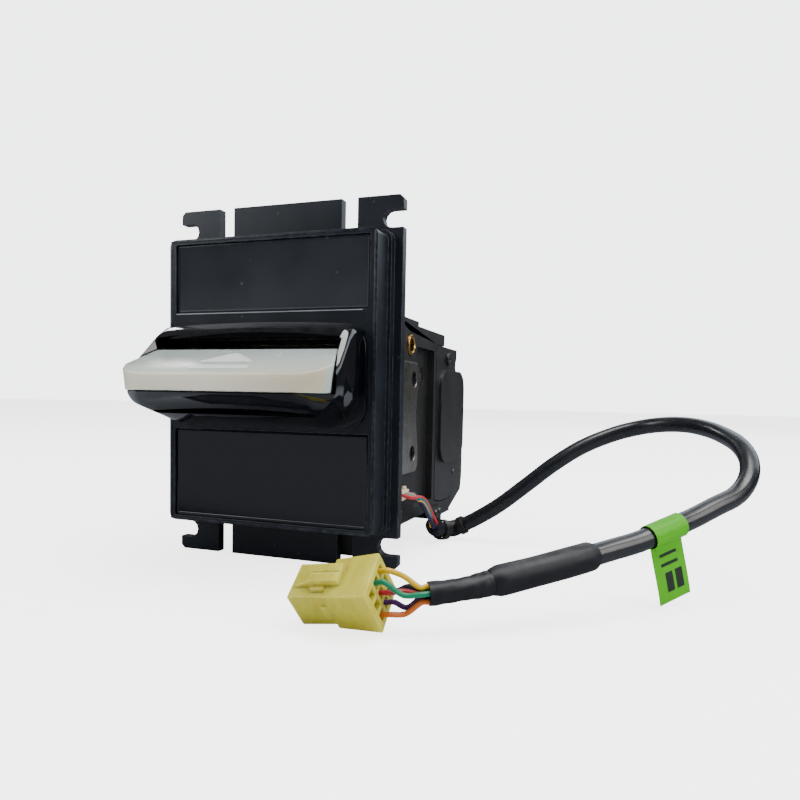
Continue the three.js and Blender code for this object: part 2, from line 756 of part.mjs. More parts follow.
const placesOf = (points) => points.map(([x, y, z]) => new THREE.Vector3(x, y, z));
const harness = new THREE.CatmullRomCurve3(placesOf(harnessPoints), false, "centripetal");
const harnessAt = (index) => harness.getPoint(index / (harnessPoints.length - 1));

// part of the harness between two of its points, held back at both ends; a second
// point close to each end keeps the end faces square to the run
const seam = 0.025;
function stretchOf(from, to, steps) {
  const points = [harnessAt(from + seam), harnessAt(from + 2 * seam)];
  for (let i = 1; i < steps; i += 1) points.push(harnessAt(from + ((to - from) * i) / steps));
  points.push(harnessAt(to - 2 * seam), harnessAt(to - seam));
  return points;
}

addPart("exit_wires", tubeAlong(placesOf(exitBundle), exitBundleRadius, 12), "wires");
addPart("exit_sleeve", tubeAlong(stretchOf(0, 4, 8), exitSleeveRadius, 8), "shrinkBlack");
addPart("cable_jacket", tubeAlong(stretchOf(4, 25, 32), cableRadius, 32), "cablePvc");
addPart("heat_shrink", tubeAlong(stretchOf(25, 27, 4), shrinkRadius, 4), "shrinkBlack");
addPart("end_sleeve", tubeAlong(stretchOf(27, 29, 4), endSleeveRadius, 4), "shrinkBlack");
addPart("connector_wires", tubeAlong(stretchOf(29, 31, 4), endBundleRadius, 4), "wires");

// band about the harness between two of its points, with a free bore
function bandAlong(from, to, inner, outer, sides = 12) {
  const start = harnessAt(from);
  const end = harnessAt(to);
  const axis = end.clone().sub(start).normalize();
  const half = start.distanceTo(end) / 2;
  const profile = [[inner, -half], [outer, -half], [outer, half], [inner, half], [inner, -half]];
  const geometry = new THREE.LatheGeometry(profile.map(([a, b]) => new THREE.Vector2(a, b)), sides);
  geometry.applyQuaternion(new THREE.Quaternion().setFromUnitVectors(new THREE.Vector3(0, 1, 0), axis));
  const middle = start.add(end).multiplyScalar(0.5);
  geometry.translate(middle.x, middle.y, middle.z);
  return solidOf(geometry);
}

const clipBore = exitSleeveRadius + gap;

// clip: a band about the sleeve with an arm up the side of the chassis tail
function clipSolid() {
  const band = bandAlong(1.7, 2.5, clipBore - 0.1, 4.95);
  const arm = block(bodyHalf + gap, bodyHalf + 1.6, 57.5, 72, 6, 16);
  const room = tubeAlong(stretchOf(0, 4, 8), clipBore, 8);
  return cut(joined(band, arm), room);
}
addPart("cable_clip", clipSolid(), "bodyBlack");
addPart("cable_tie", bandAlong(4.25, 4.53, 3.85, 4.7), "satinBlack");

const labelAt = 22;
const labelHalfWide = 6.5;
const labelTail = 19;

// flag: a wrap about the cable with a flat tail hanging square to it
function flagSolid() {
  const wrap = bandAlong(labelAt - 0.5, labelAt + 0.5, 3.85, 4.15);
  const along = harnessAt(labelAt + 0.5).sub(harnessAt(labelAt - 0.5)).normalize();
  const side = new THREE.Vector3(0, 0, 1).cross(along).normalize();
  const up = along.clone().cross(side);
  const geometry = new THREE.BoxGeometry(2 * labelHalfWide, 0.5, labelTail);
  geometry.translate(0, 0, -3.95 - labelTail / 2);
  geometry.applyMatrix4(new THREE.Matrix4().makeBasis(along, side, up));
  const place = harnessAt(labelAt);
  geometry.translate(place.x, place.y, place.z);
  return joined(wrap, solidOf(geometry));
}
addPart("flag_label", flagSolid(), "labelGreen");

// nine-way housing: block with a flared wire end, nine cavities and a latch on top
const housingLong = 26;
const housingSize = 12.6;
const rimSize = 16;
const cavityPitch = 4.3;
const cavityHalf = 1.6;
const housingPlace = new THREE.Vector3(58.8, -68.6, 10.6);
const housingTurn = new THREE.Euler(
  THREE.MathUtils.degToRad(36), THREE.MathUtils.degToRad(-8), THREE.MathUtils.degToRad(-2), "ZYX");

function housingSolid() {
  const [half, rim, end] = [housingSize / 2, rimSize / 2, housingLong / 2];
  const front = block(-end, -end + 13, -half, half, -half, half);
  const rear = block(-end + 11, end, -rim, rim, -rim, rim);
  const latch = block(-end + 3, -end + 17, -3.4, 3.4, half - 0.5, half + 3.4);
  const cavities = [];
  for (const y of [-cavityPitch, 0, cavityPitch]) {
    for (const z of [-cavityPitch, 0, cavityPitch]) {
      const section = [y - cavityHalf, y + cavityHalf, z - cavityHalf, z + cavityHalf];
      cavities.push(block(end - 12, end + 1, ...section));
      cavities.push(block(-end - 1, -end + 8, ...section));
    }
  }
  const shape = geometryOf(cut(joined(front, rear, latch), ...cavities));
  shape.applyQuaternion(new THREE.Quaternion().setFromEuler(housingTurn));
  shape.translate(housingPlace.x, housingPlace.y, housingPlace.z);
  return solidOf(shape);
}
addPart("connector_housing", housingSolid(), "nylon");

export default validator;
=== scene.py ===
import json
import math
import bmesh
import bpy
from mathutils import Matrix, Vector


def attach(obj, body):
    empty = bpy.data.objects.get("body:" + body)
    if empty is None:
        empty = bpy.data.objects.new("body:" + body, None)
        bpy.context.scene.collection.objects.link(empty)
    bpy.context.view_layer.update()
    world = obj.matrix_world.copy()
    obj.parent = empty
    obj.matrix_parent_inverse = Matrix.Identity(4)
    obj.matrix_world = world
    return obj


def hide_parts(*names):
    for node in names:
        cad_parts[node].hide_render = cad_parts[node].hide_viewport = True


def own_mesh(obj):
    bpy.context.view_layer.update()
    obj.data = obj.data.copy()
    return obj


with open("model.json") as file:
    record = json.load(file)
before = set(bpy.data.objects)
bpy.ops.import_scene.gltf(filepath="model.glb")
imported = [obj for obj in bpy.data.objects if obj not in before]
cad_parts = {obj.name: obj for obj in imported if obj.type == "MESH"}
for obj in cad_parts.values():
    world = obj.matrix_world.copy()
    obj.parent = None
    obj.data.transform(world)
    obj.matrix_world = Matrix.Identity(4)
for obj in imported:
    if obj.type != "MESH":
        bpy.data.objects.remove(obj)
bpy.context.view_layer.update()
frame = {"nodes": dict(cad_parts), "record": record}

nodes = frame["nodes"]
plateY = -0.033  # the front face of the plate in the shared frame
mm = 0.001


# a point given in mm from the front face of the plate, as the design has it
def at(x, y, z):
    return Vector((x * mm, y * mm + plateY, z * mm))


cameraSetup = {
    "place": (139.29, -241.88, 67.14),
    "right": (0.94630, 0.32264, 0.02056),
    "up": (-0.03623, 0.04263, 0.99843),
    "lens": 29.7,
    "shift": (-0.0179, 0.0441),
}
cameraData = bpy.data.cameras.new("camera")
cameraData.lens = cameraSetup["lens"]
cameraData.sensor_width = 36
cameraData.shift_x, cameraData.shift_y = cameraSetup["shift"]
cameraData.clip_start = 0.01
camera = bpy.data.objects.new("camera", cameraData)
bpy.context.scene.collection.objects.link(camera)
rightWay = Vector(cameraSetup["right"]).normalized()
upWay = Vector(cameraSetup["up"])
upWay = (upWay - upWay.dot(rightWay) * rightWay).normalized()
backWay = rightWay.cross(upWay)
turn = Matrix((rightWay, upWay, backWay)).transposed().to_4x4()
camera.matrix_world = Matrix.Translation(at(*cameraSetup["place"])) @ turn
bpy.context.scene.camera = camera
print("camera set")


def link(tree, source, target):
    tree.links.new(source, target)


# gives a socket a plain value, or links another node's output to it
def feed(tree, socket, value):
    if isinstance(value, bpy.types.NodeSocket):
        link(tree, value, socket)
    else:
        socket.default_value = value


def setInputs(node, values):
    for name, value in values.items():
        node.inputs[name].default_value = value


def mathNode(tree, operation, a, b, clamp=False):
    node = tree.nodes.new("ShaderNodeMath")
    node.operation = operation
    node.use_clamp = clamp
    feed(tree, node.inputs[0], a)
    feed(tree, node.inputs[1], b)
    return node.outputs[0]


def rangeNode(tree, value, fromLow, fromHigh, toLow=0.0, toHigh=1.0):
    node = tree.nodes.new("ShaderNodeMapRange")
    setInputs(node, {"From Min": fromLow, "From Max": fromHigh, "To Min": toLow, "To Max": toHigh})
    link(tree, value, node.inputs["Value"])
    return node.outputs["Result"]


def mixColour(tree, factor, a, b):
    node = tree.nodes.new("ShaderNodeMix")
    node.data_type = "RGBA"
    for name, value in (("Factor", factor), ("A", a), ("B", b)):
        feed(tree, node.inputs[name], value)
    return node.outputs["Result"]


def noiseNode(tree, vector, scale, detail=3.0, rough=0.5):
    node = tree.nodes.new("ShaderNodeTexNoise")
    setInputs(node, {"Detail": detail, "Roughness": rough})
    feed(tree, node.inputs["Scale"], scale)
    link(tree, vector, node.inputs["Vector"])
    return node.outputs["Fac"]


def objectPlace(tree, scale=(1, 1, 1), turnBy=(0, 0, 0)):
    place = tree.nodes.new("ShaderNodeTexCoord").outputs["Object"]
    mapping = tree.nodes.new("ShaderNodeMapping")
    setInputs(mapping, {"Scale": scale, "Rotation": turnBy})
    link(tree, place, mapping.inputs["Vector"])
    return mapping.outputs["Vector"]


def tinted(colour, by):
    return tuple(min(1.0, channel * by) for channel in colour[:3]) + (1,)


# node group with inputs given as name: default, and plain numbers as outputs
def newGroup(name, inputs, outputs):
    tree = bpy.data.node_groups.new(name, "ShaderNodeTree")
    for label, value in inputs.items():
        kind = "NodeSocketVector" if isinstance(value, tuple) else "NodeSocketFloat"
        tree.interface.new_socket(name=label, in_out="INPUT", socket_type=kind).default_value = value
    for label in outputs:
        tree.interface.new_socket(name=label, in_out="OUTPUT", socket_type="NodeSocketFloat")
    return tree, tree.nodes.new("NodeGroupInput").outputs, tree.nodes.new("NodeGroupOutput").inputs


def useGroup(tree, group, **values):
    node = tree.nodes.new("ShaderNodeGroup")
    node.node_tree = group
    setInputs(node, values)
    return node.outputs


# rubbed edges: the normal of a rounded corner turned against the true one, broken up by noise
def makeEdgeWear():
    tree, given, made = newGroup("edgeWear", {"Width": 0.0004, "Break": 900.0, "Amount": 0.6}, ["Mask"])
    bevel = tree.nodes.new("ShaderNodeBevel")
    bevel.samples = 4
    link(tree, given["Width"], bevel.inputs["Radius"])
    geometry = tree.nodes.new("ShaderNodeNewGeometry")
    dot = tree.nodes.new("ShaderNodeVectorMath")
    dot.operation = "DOT_PRODUCT"
    link(tree, bevel.outputs[0], dot.inputs[0])
    link(tree, geometry.outputs["Normal"], dot.inputs[1])
    corner = rangeNode(tree, dot.outputs["Value"], 0.995, 0.90)
    patch = rangeNode(tree, noiseNode(tree, objectPlace(tree), given["Break"], 4), 0.38, 0.62)
    rubbed = mathNode(tree, "MULTIPLY", corner, patch)
    link(tree, mathNode(tree, "MULTIPLY", rubbed, given["Amount"], clamp=True), made["Mask"])
    return tree


# fine moulded grain with slow waves, as height and as a roughness change
def makeGrain():
    inputs = {"Fine": 3500.0, "Slow": 60.0, "Mix": 0.7}
    tree, given, made = newGroup("mouldGrain", inputs, ["Height", "Shine"])
    place = objectPlace(tree)
    fine = noiseNode(tree, place, given["Fine"], 2)
    slow = noiseNode(tree, place, given["Slow"], 3)
    part = tree.nodes.new("ShaderNodeMix")
    for name, source in (("Factor", given["Mix"]), ("A", slow), ("B", fine)):
        link(tree, source, part.inputs[name])
    link(tree, part.outputs["Result"], made["Height"])
    link(tree, rangeNode(tree, slow, 0.3, 0.7, -1.0, 1.0), made["Shine"])
    return tree


# dust that settles on upward faces, with a few larger specks everywhere
def makeDust():
    tree, given, made = newGroup("settledDust", {"Amount": 0.3, "Specks": 0.3, "Size": 420.0}, ["Mask"])
    place = objectPlace(tree)
    geometry = tree.nodes.new("ShaderNodeNewGeometry")
    split = tree.nodes.new("ShaderNodeSeparateXYZ")
    link(tree, geometry.outputs["Normal"], split.inputs[0])
    upward = rangeNode(tree, split.outputs["Z"], 0.3, 0.95)
    film = rangeNode(tree, noiseNode(tree, place, 210, 6, 0.6), 0.30, 0.80)
    lying = mathNode(tree, "MULTIPLY", mathNode(tree, "MULTIPLY", upward, film), given["Amount"])
    cells = tree.nodes.new("ShaderNodeTexVoronoi")
    link(tree, given["Size"], cells.inputs["Scale"])
    link(tree, place, cells.inputs["Vector"])
    tint = tree.nodes.new("ShaderNodeSeparateColor")
    link(tree, cells.outputs["Color"], tint.inputs[0])
    chosen = mathNode(tree, "GREATER_THAN", tint.outputs[0], 0.93)
    speck = mathNode(tree, "MULTIPLY", rangeNode(tree, cells.outputs["Distance"], 0.16, 0.08), chosen)
    specks = mathNode(tree, "MULTIPLY", speck, given["Specks"])
    link(tree, mathNode(tree, "ADD", lying, specks, clamp=True), made["Mask"])
    return tree


# long fine lines in one direction, for plated and drawn metal
def makeBrushed():
    inputs = {"Across": (300.0, 9000.0, 300.0), "Blotch": 120.0}
    tree, given, made = newGroup("brushedLines", inputs, ["Line", "Blotch"])
    place = tree.nodes.new("ShaderNodeTexCoord").outputs["Object"]
    stretch = tree.nodes.new("ShaderNodeVectorMath")
    stretch.operation = "MULTIPLY"
    link(tree, place, stretch.inputs[0])
    link(tree, given["Across"], stretch.inputs[1])
    link(tree, noiseNode(tree, stretch.outputs[0], 1.0, 3, 0.6), made["Line"])
    link(tree, noiseNode(tree, place, given["Blotch"], 4), made["Blotch"])
    return tree


# hairline scratches from two crossed sets of stretched noise
def makeScratches():
    tree, given, made = newGroup("hairScratches", {"Density": 0.5}, ["Mask"])
    sets = []
    for turnBy, scale in (((0.5, 0.3, 0.7), (90, 2600, 400)), ((1.1, -0.6, 2.0), (70, 2100, 300))):
        noise = noiseNode(tree, objectPlace(tree, scale, turnBy), 1.0, 2, 0.4)
        sets.append(rangeNode(tree, noise, 0.70, 0.76))
    lines = mathNode(tree, "MAXIMUM", *sets)
    link(tree, mathNode(tree, "MULTIPLY", lines, given["Density"], clamp=True), made["Mask"])
    return tree


edgeWear = makeEdgeWear()
mouldGrain = makeGrain()
settledDust = makeDust()
brushedLines = makeBrushed()
hairScratches = makeScratches()
print("effects made")


# a new material with its shader already wired to the output
def newMaterial(name):
    material = bpy.data.materials.new(name)
    material.use_nodes = True
    tree = material.node_tree
    tree.nodes.clear()
    shader = tree.nodes.new("ShaderNodeBsdfPrincipled")
    out = tree.nodes.new("ShaderNodeOutputMaterial")
    link(tree, shader.outputs[0], out.inputs["Surface"])
    return material, tree, shader


def addBump(tree, shader, height, strength, distance):
    node = tree.nodes.new("ShaderNodeBump")
    setInputs(node, {"Strength": strength, "Distance": distance})
    link(tree, height, node.inputs["Height"])
    link(tree, node.outputs[0], shader.inputs["Normal"])


# light that goes into the plastic and comes out again nearby
def addDepth(shader, weight, scale, radius):
    setInputs(shader, {"Subsurface Weight": weight, "Subsurface Scale": scale, "Subsurface Radius": radius})


def rougher(tree, roughness, mask, by):
    return mathNode(tree, "ADD", roughness, mathNode(tree, "MULTIPLY", mask, by), clamp=True)


def grainNode(tree, fine, slow, mix):
    return useGroup(tree, mouldGrain, Fine=fine, Slow=slow, Mix=mix)


def wearMask(tree, width, breakUp, amount):
    return useGroup(tree, edgeWear, Width=width, Break=breakUp, Amount=amount)["Mask"]


def dustMask(tree, amount, specks, size):
    return useGroup(tree, settledDust, Amount=amount, Specks=specks, Size=size)["Mask"]


# moulded or painted surface; grain, bump, wear and dust are given in the order of their helpers
def finish(name, base, rough, *, coat=0.0, coatRough=0.05, grain=(3500.0, 60.0, 0.7), bump=None, wear=None,
           wearColour=(0.2, 0.2, 0.21, 1), dust=None, dustColour=(0.42, 0.41, 0.39, 1), scratch=0.0,
           shineChange=0.05, tint=0.15, soft=0.0, specular=0.5):
    material, tree, shader = newMaterial(name)
    setInputs(shader, {
        "IOR": 1.5, "Specular IOR Level": specular, "Coat Weight": coat, "Coat Roughness": coatRough,
        "Subsurface Weight": soft, "Subsurface Scale": 0.002,
    })
    grainOut = grainNode(tree, *grain)
    colour = mixColour(tree, rangeNode(tree, grainOut["Shine"], -1, 1), tinted(base, 1 - tint),
                       tinted(base, 1 + tint))
    roughness = rangeNode(tree, grainOut["Shine"], -1, 1, rough - shineChange, rough + shineChange)
    if scratch:
        roughness = rougher(tree, roughness, useGroup(tree, hairScratches, Density=scratch)["Mask"], 0.25)
    if wear:
        colour = mixColour(tree, wearMask(tree, *wear), colour, wearColour)
    if dust:
        mask = dustMask(tree, *dust)
        colour = mixColour(tree, mask, colour, dustColour)
        roughness = rougher(tree, roughness, mask, 0.4)
    link(tree, colour, shader.inputs["Base Color"])
    link(tree, roughness, shader.inputs["Roughness"])
    if bump:
        addBump(tree, shader, grainOut["Height"], *bump)
    return material


# plated or drawn metal with brushed lines and blotches
def metalFinish(name, base, rough, across=(300.0, 9000.0, 300.0), blotchColour=None, wearAmount=0.5,
                bump=0.1):
    material, tree, shader = newMaterial(name)
    shader.inputs["Metallic"].default_value = 1.0
    lines = useGroup(tree, brushedLines, Across=across)
    blotches = rangeNode(tree, lines["Blotch"], 0.42, 0.68)
    colour = mixColour(tree, blotches, base, blotchColour or tinted(base, 0.7))
    colour = mixColour(tree, wearMask(tree, 0.0003, 1400.0, wearAmount), colour, tinted(base, 1.5))
    link(tree, colour, shader.inputs["Base Color"])
    smooth = mathNode(tree, "ADD", rangeNode(tree, lines["Line"], 0.3, 0.7, rough - 0.07, rough + 0.1),
                      rangeNode(tree, lines["Blotch"], 0.4, 0.8, 0.0, 0.12))
    link(tree, smooth, shader.inputs["Roughness"])
    addBump(tree, shader, lines["Line"], bump, 0.00005)
    return material


satinBezel = finish("satinBezel", (0.0068, 0.0098, 0.0165, 1), 0.36, grain=(2600.0, 45.0, 0.75),
                    bump=(0.16, 0.00006), wear=(0.0005, 500.0, 0.75), wearColour=(0.10, 0.115, 0.14, 1),
                    dust=(0.10, 0.105, 260.0), scratch=0.3, tint=0.2)
satinPanel = finish("satinPanel", (0.0080, 0.0112, 0.0180, 1), 0.34, grain=(2100.0, 40.0, 0.7),
                    bump=(0.12, 0.00005), wear=(0.0003, 700.0, 0.6), wearColour=(0.12, 0.13, 0.15, 1),
                    dust=(0.05, 0.15, 240.0), scratch=0.2, tint=0.2)
glossPanel = finish("glossPanel", (0.0016, 0.0022, 0.0042, 1), 0.07, grain=(900.0, 30.0, 0.3),
                    bump=(0.02, 0.0001), dust=(0.04, 0.0, 300.0), scratch=0.25, shineChange=0.02, coat=0.6)
pianoHood = finish("pianoHood", (0.0014, 0.0018, 0.0036, 1), 0.05, grain=(700.0, 26.0, 0.25),
                   bump=(0.03, 0.0002), dust=(0.06, 0.06, 320.0), scratch=0.35, shineChange=0.02, coat=0.9,
                   coatRough=0.02)
bodyShell = finish("bodyShell", (0.0115, 0.0118, 0.0128, 1), 0.46, grain=(3800.0, 70.0, 0.8),
                   bump=(0.3, 0.00008), wear=(0.0004, 600.0, 0.5), wearColour=(0.07, 0.07, 0.075, 1),
                   dust=(0.06, 0.09, 300.0), tint=0.2)
coverShell = finish("coverShell", (0.0135, 0.0132, 0.0142, 1), 0.42, grain=(4200.0, 60.0, 0.8),
                    bump=(0.32, 0.00008), wear=(0.0005, 500.0, 0.55), wearColour=(0.08, 0.08, 0.085, 1),
                    dust=(0.06, 0.09, 280.0), tint=0.2)
steelScrew = metalFinish("steelScrew", (0.20, 0.20, 0.21, 1), 0.34)
groundSteel = metalFinish("groundSteel", (0.42, 0.43, 0.44, 1), 0.3, across=(9000.0, 600.0, 600.0))
nickelStrip = metalFinish("nickelStrip", (0.42, 0.41, 0.36, 1), 0.26, across=(400.0, 4200.0, 260.0),
                          blotchColour=(0.30, 0.27, 0.25, 1), wearAmount=0.6, bump=0.2)
brassTurned = metalFinish("brassTurned", (0.62, 0.40, 0.13, 1), 0.22, across=(7000.0, 500.0, 500.0),
                          blotchColour=(0.34, 0.19, 0.05, 1))
driveRubber = finish("driveRubber", (0.022, 0.022, 0.023, 1), 0.82, grain=(5200.0, 90.0, 0.8),
                     bump=(0.6, 0.0001), dust=(0.5, 0.18, 500.0), specular=0.3)
acetalGear = finish("acetalGear", (0.74, 0.70, 0.60, 1), 0.36, grain=(1800.0, 50.0, 0.6),
                    bump=(0.1, 0.00005), soft=0.3, tint=0.06, dust=(0.3, 0.06, 420.0),
                    dustColour=(0.25, 0.23, 0.2, 1))
creamNylon = finish("creamNylon", (0.76, 0.68, 0.47, 1), 0.38, grain=(1800.0, 60.0, 0.6),
                    bump=(0.1, 0.00005), soft=0.3, tint=0.08)
blackChip = finish("blackChip", (0.014, 0.014, 0.015, 1), 0.5, grain=(4200.0, 120.0, 0.8),
                   bump=(0.25, 0.00005), dust=(0.1, 0.06, 600.0))
redSwitch = finish("redSwitch", (0.42, 0.03, 0.018, 1), 0.32, grain=(1800.0, 80.0, 0.6),
                   bump=(0.1, 0.00004), wear=(0.0003, 900.0, 0.3), wearColour=(0.5, 0.2, 0.17, 1))
shrinkSatin = finish("shrinkSatin", (0.0085, 0.0095, 0.0125, 1), 0.42, specular=0.32,
                     grain=(1500.0, 130.0, 0.5), bump=(0.35, 0.00012), dust=(0.1, 0.075, 420.0),
                     shineChange=0.08, tint=0.2)
tiePlastic = finish("tiePlastic", (0.011, 0.011, 0.012, 1), 0.38, grain=(2400.0, 120.0, 0.6),
                    bump=(0.15, 0.00006), wear=(0.0002, 900.0, 0.4), wearColour=(0.1, 0.1, 0.11, 1))
whitePaint = finish("whitePaint", (0.78, 0.78, 0.75, 1), 0.4, grain=(1500.0, 80.0, 0.5),
                    bump=(0.1, 0.00005))
printInk = finish("printInk", (0.012, 0.02, 0.012, 1), 0.45, grain=(2500.0, 160.0, 0.5),
                  bump=(0.1, 0.00004), tint=0.3)
labelFilm = finish("labelFilm", (0.072, 0.42, 0.0, 1), 0.42, grain=(1300.0, 60.0, 0.4),
                   bump=(0.12, 0.00015), shineChange=0.08, tint=0.05, dust=(0.05, 0.03, 500.0),
                   specular=0.25)
print("plain finishes made")


# milky entry lens, one material coloured by which way a face looks: painted shade makes the top grey-green,
# painted light makes the front face ivory
def makeLensMilk(name, top, front, rough, soft):
    material, tree, shader = newMaterial(name)
    coords = tree.nodes.new("ShaderNodeTexCoord")
    facing = tree.nodes.new("ShaderNodeSeparateXYZ")
    link(tree, coords.outputs["Normal"], facing.inputs[0])
    # faces looking out to the front take the painted lit ivory, the others the painted shaded grey-green
    litFrontMask = rangeNode(tree, facing.outputs["Y"], -0.30, -0.75)
    place = tree.nodes.new("ShaderNodeSeparateXYZ")
    link(tree, coords.outputs["Object"], place.inputs[0])
    # painted shade: the front colour is darkened and warmed toward the right end of the lens
    toRight = rangeNode(tree, place.outputs["X"], 0.0, 0.042)
    shadedToRight = mixColour(tree, mathNode(tree, "MULTIPLY", toRight, 0.75), front, (0.50, 0.42, 0.30, 1))
    cloud = rangeNode(tree, noiseNode(tree, objectPlace(tree), 70, 4, 0.55), 0.35, 0.65)
    cloudy = mixColour(tree, mathNode(tree, "MULTIPLY", cloud, 0.35), top, tinted(top, 0.86))
    link(tree, mixColour(tree, litFrontMask, cloudy, shadedToRight), shader.inputs["Base Color"])
    grainOut = grainNode(tree, 1900.0, 45.0, 0.5)
    roughness = rangeNode(tree, grainOut["Shine"], -1, 1, rough - 0.05, rough + 0.06)
    roughness = rougher(tree, roughness, useGroup(tree, hairScratches, Density=0.5)["Mask"], 0.2)
    roughness = rougher(tree, roughness, dustMask(tree, 0.25, 0.25, 330.0), 0.3)
    link(tree, roughness, shader.inputs["Roughness"])
    addDepth(shader, soft, 0.004, (1.0, 1.0, 0.9))
    addBump(tree, shader, grainOut["Height"], 0.08, 0.0001)
    return material


lensMilk = makeLensMilk("lensMilk", (0.43, 0.51, 0.49, 1), (0.72, 0.70, 0.58, 1), 0.2, 0.6)
lensMark = makeLensMilk("lensMark", (0.72, 0.78, 0.76, 1), (0.82, 0.80, 0.74, 1), 0.28, 0)


# natural nylon housing: yellow-green, warmer in thin walls, with slow flow marks
def makeHousingNylon():
    material, tree, shader = newMaterial("housingNylon")
    grainOut = grainNode(tree, 1700.0, 55.0, 0.5)
    flow = noiseNode(tree, objectPlace(tree, (260, 60, 90)), 1.0, 4, 0.6)
    marks = rangeNode(tree, flow, 0.35, 0.68)
    colour = mixColour(tree, marks, (0.60, 0.56, 0.060, 1), (0.50, 0.42, 0.035, 1))
    colour = mixColour(tree, wearMask(tree, 0.0005, 500.0, 0.7), colour, (0.78, 0.76, 0.28, 1))
    colour = mixColour(tree, dustMask(tree, 0.1, 0.3, 420.0), colour, (0.40, 0.38, 0.22, 1))
    link(tree, colour, shader.inputs["Base Color"])
    link(tree, rangeNode(tree, grainOut["Shine"], -1, 1, 0.3, 0.46), shader.inputs["Roughness"])
    addDepth(shader, 0.6, 0.003, (1.0, 0.95, 0.5))
    addBump(tree, shader, grainOut["Height"], 0.18, 0.0001)
    return material


# green solder mask with copper runs raised under it
def makeBoardMask():
    material, tree, shader = newMaterial("boardMask")
    bricks = tree.nodes.new("ShaderNodeTexBrick")
    bricks.offset = 0.37
    setInputs(bricks, {
        "Scale": 1.0, "Mortar Size": 0.055, "Color1": (0, 0, 0, 1), "Color2": (0.12, 0.12, 0.12, 1),
        "Mortar": (1, 1, 1, 1),
    })
    link(tree, objectPlace(tree, (260, 260, 260), (math.pi / 2, 0, 0)), bricks.inputs["Vector"])
    run = tree.nodes.new("ShaderNodeSeparateColor")
    link(tree, bricks.outputs["Color"], run.inputs[0])
    colour = mixColour(tree, run.outputs[0], (0.009, 0.085, 0.032, 1), (0.03, 0.20, 0.07, 1))
    colour = mixColour(tree, dustMask(tree, 0.4, 0.35, 520.0), colour, (0.3, 0.31, 0.27, 1))
    link(tree, colour, shader.inputs["Base Color"])
    shine = grainNode(tree, 2600.0, 120.0, 0.5)["Shine"]
    link(tree, rangeNode(tree, shine, -1, 1, 0.22, 0.38), shader.inputs["Roughness"])
    addBump(tree, shader, run.outputs[0], 0.3, 0.00006)
    return material


housingNylon = makeHousingNylon()
boardMask = makeBoardMask()


# extruded cable skin: fine lines along the run, soft patches of handling
def makeCableSkin(name, base, rough, lineDepth=0.08, coat=0.0):
    material, tree, shader = newMaterial(name)
    coords = tree.nodes.new("ShaderNodeTexCoord")
    mapping = tree.nodes.new("ShaderNodeMapping")
    mapping.inputs["Scale"].default_value = (18, 30, 1)
    link(tree, coords.outputs["UV"], mapping.inputs["Vector"])
    lines = noiseNode(tree, mapping.outputs["Vector"], 1.0, 3, 0.6)
    grainOut = grainNode(tree, 2600.0, 70.0, 0.6)
    colour = mixColour(tree, rangeNode(tree, grainOut["Shine"], -1, 1), tinted(base, 0.8), base)
    colour = mixColour(tree, dustMask(tree, 0.12, 0.25, 520.0), colour, (0.35, 0.34, 0.33, 1))
    link(tree, colour, shader.inputs["Base Color"])
    roughness = mathNode(tree, "ADD", rangeNode(tree, grainOut["Shine"], -1, 1, rough - 0.05, rough + 0.07),
                         rangeNode(tree, lines, 0.4, 0.7, 0.0, 0.06), clamp=True)
    link(tree, roughness, shader.inputs["Roughness"])
    setInputs(shader, {"Coat Weight": coat, "Coat Roughness": 0.16})
    height = mathNode(tree, "ADD", mathNode(tree, "MULTIPLY", lines, 0.6), grainOut["Height"])
    addBump(tree, shader, height, lineDepth, 0.00008)
    return material


jacketSkin = makeCableSkin("jacketSkin", (0.010, 0.012, 0.0165, 1), 0.26, 0.05, 0.5)
wireColours = {
    "yellow": (0.76, 0.46, 0.0, 1),
    "green": (0.0, 0.23, 0.11, 1),
    "navy": (0.010, 0.016, 0.055, 1),
    "red": (0.50, 0.022, 0.035, 1),
    "purple": (0.07, 0.012, 0.13, 1),
    "orange": (0.62, 0.14, 0.015, 1),
    "blue": (0.012, 0.055, 0.26, 1),
}
wireSkins = {name: makeCableSkin(name + "Wire", base, 0.3) for name, base in wireColours.items()}
print("special finishes made")


def softAngle(bm, degrees=33):
    limit = math.radians(degrees)
    for face in bm.faces:
        face.smooth = True
    for edge in bm.edges:
        edge.smooth = len(edge.link_faces) == 2 and edge.calc_face_angle(0) < limit


def addPiece(name, bm, material, body="frame", replaces=(), smooth=33, bevel=None):
    bmesh.ops.remove_doubles(bm, verts=bm.verts, dist=1e-7)
    softAngle(bm, smooth)
    mesh = bpy.data.meshes.new(name)
    bm.to_mesh(mesh)
    bm.free()
    piece = bpy.data.objects.new(name, mesh)
    bpy.context.scene.collection.objects.link(piece)
    for one in material if isinstance(material, (list, tuple)) else (material,):
        mesh.materials.append(one)
    if bevel:
        rounding = piece.modifiers.new("rounded edges", "BEVEL")
        rounding.width, rounding.segments = bevel
        rounding.limit_method = "ANGLE"
        rounding.angle_limit = math.radians(34)
        rounding.harden_normals = True
    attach(piece, body)
    if replaces:
        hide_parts(*replaces)
    return piece


def sharpEdges(bm, degrees=34):
    limit = math.radians(degrees)
    return [edge for edge in bm.edges if len(edge.link_faces) == 2 and edge.calc_face_angle(0) > limit]


def roundEdges(bm, width, segments=2, edges=None):
    chosen = sharpEdges(bm) if edges is None else edges
    bmesh.ops.bevel(bm, geom=chosen, offset=width, offset_type="OFFSET", segments=segments, profile=0.5,
                    affect="EDGES", clamp_overlap=True, material=-1)


def moveAll(bm, matrix):
    bmesh.ops.transform(bm, matrix=matrix, verts=bm.verts)


# matrix that lays a shape's own axes along three ways at a place
def frameAt(place, x, y, z):
    matrix = Matrix((x, y, z)).transposed().to_4x4()
    matrix.translation = place
    return matrix


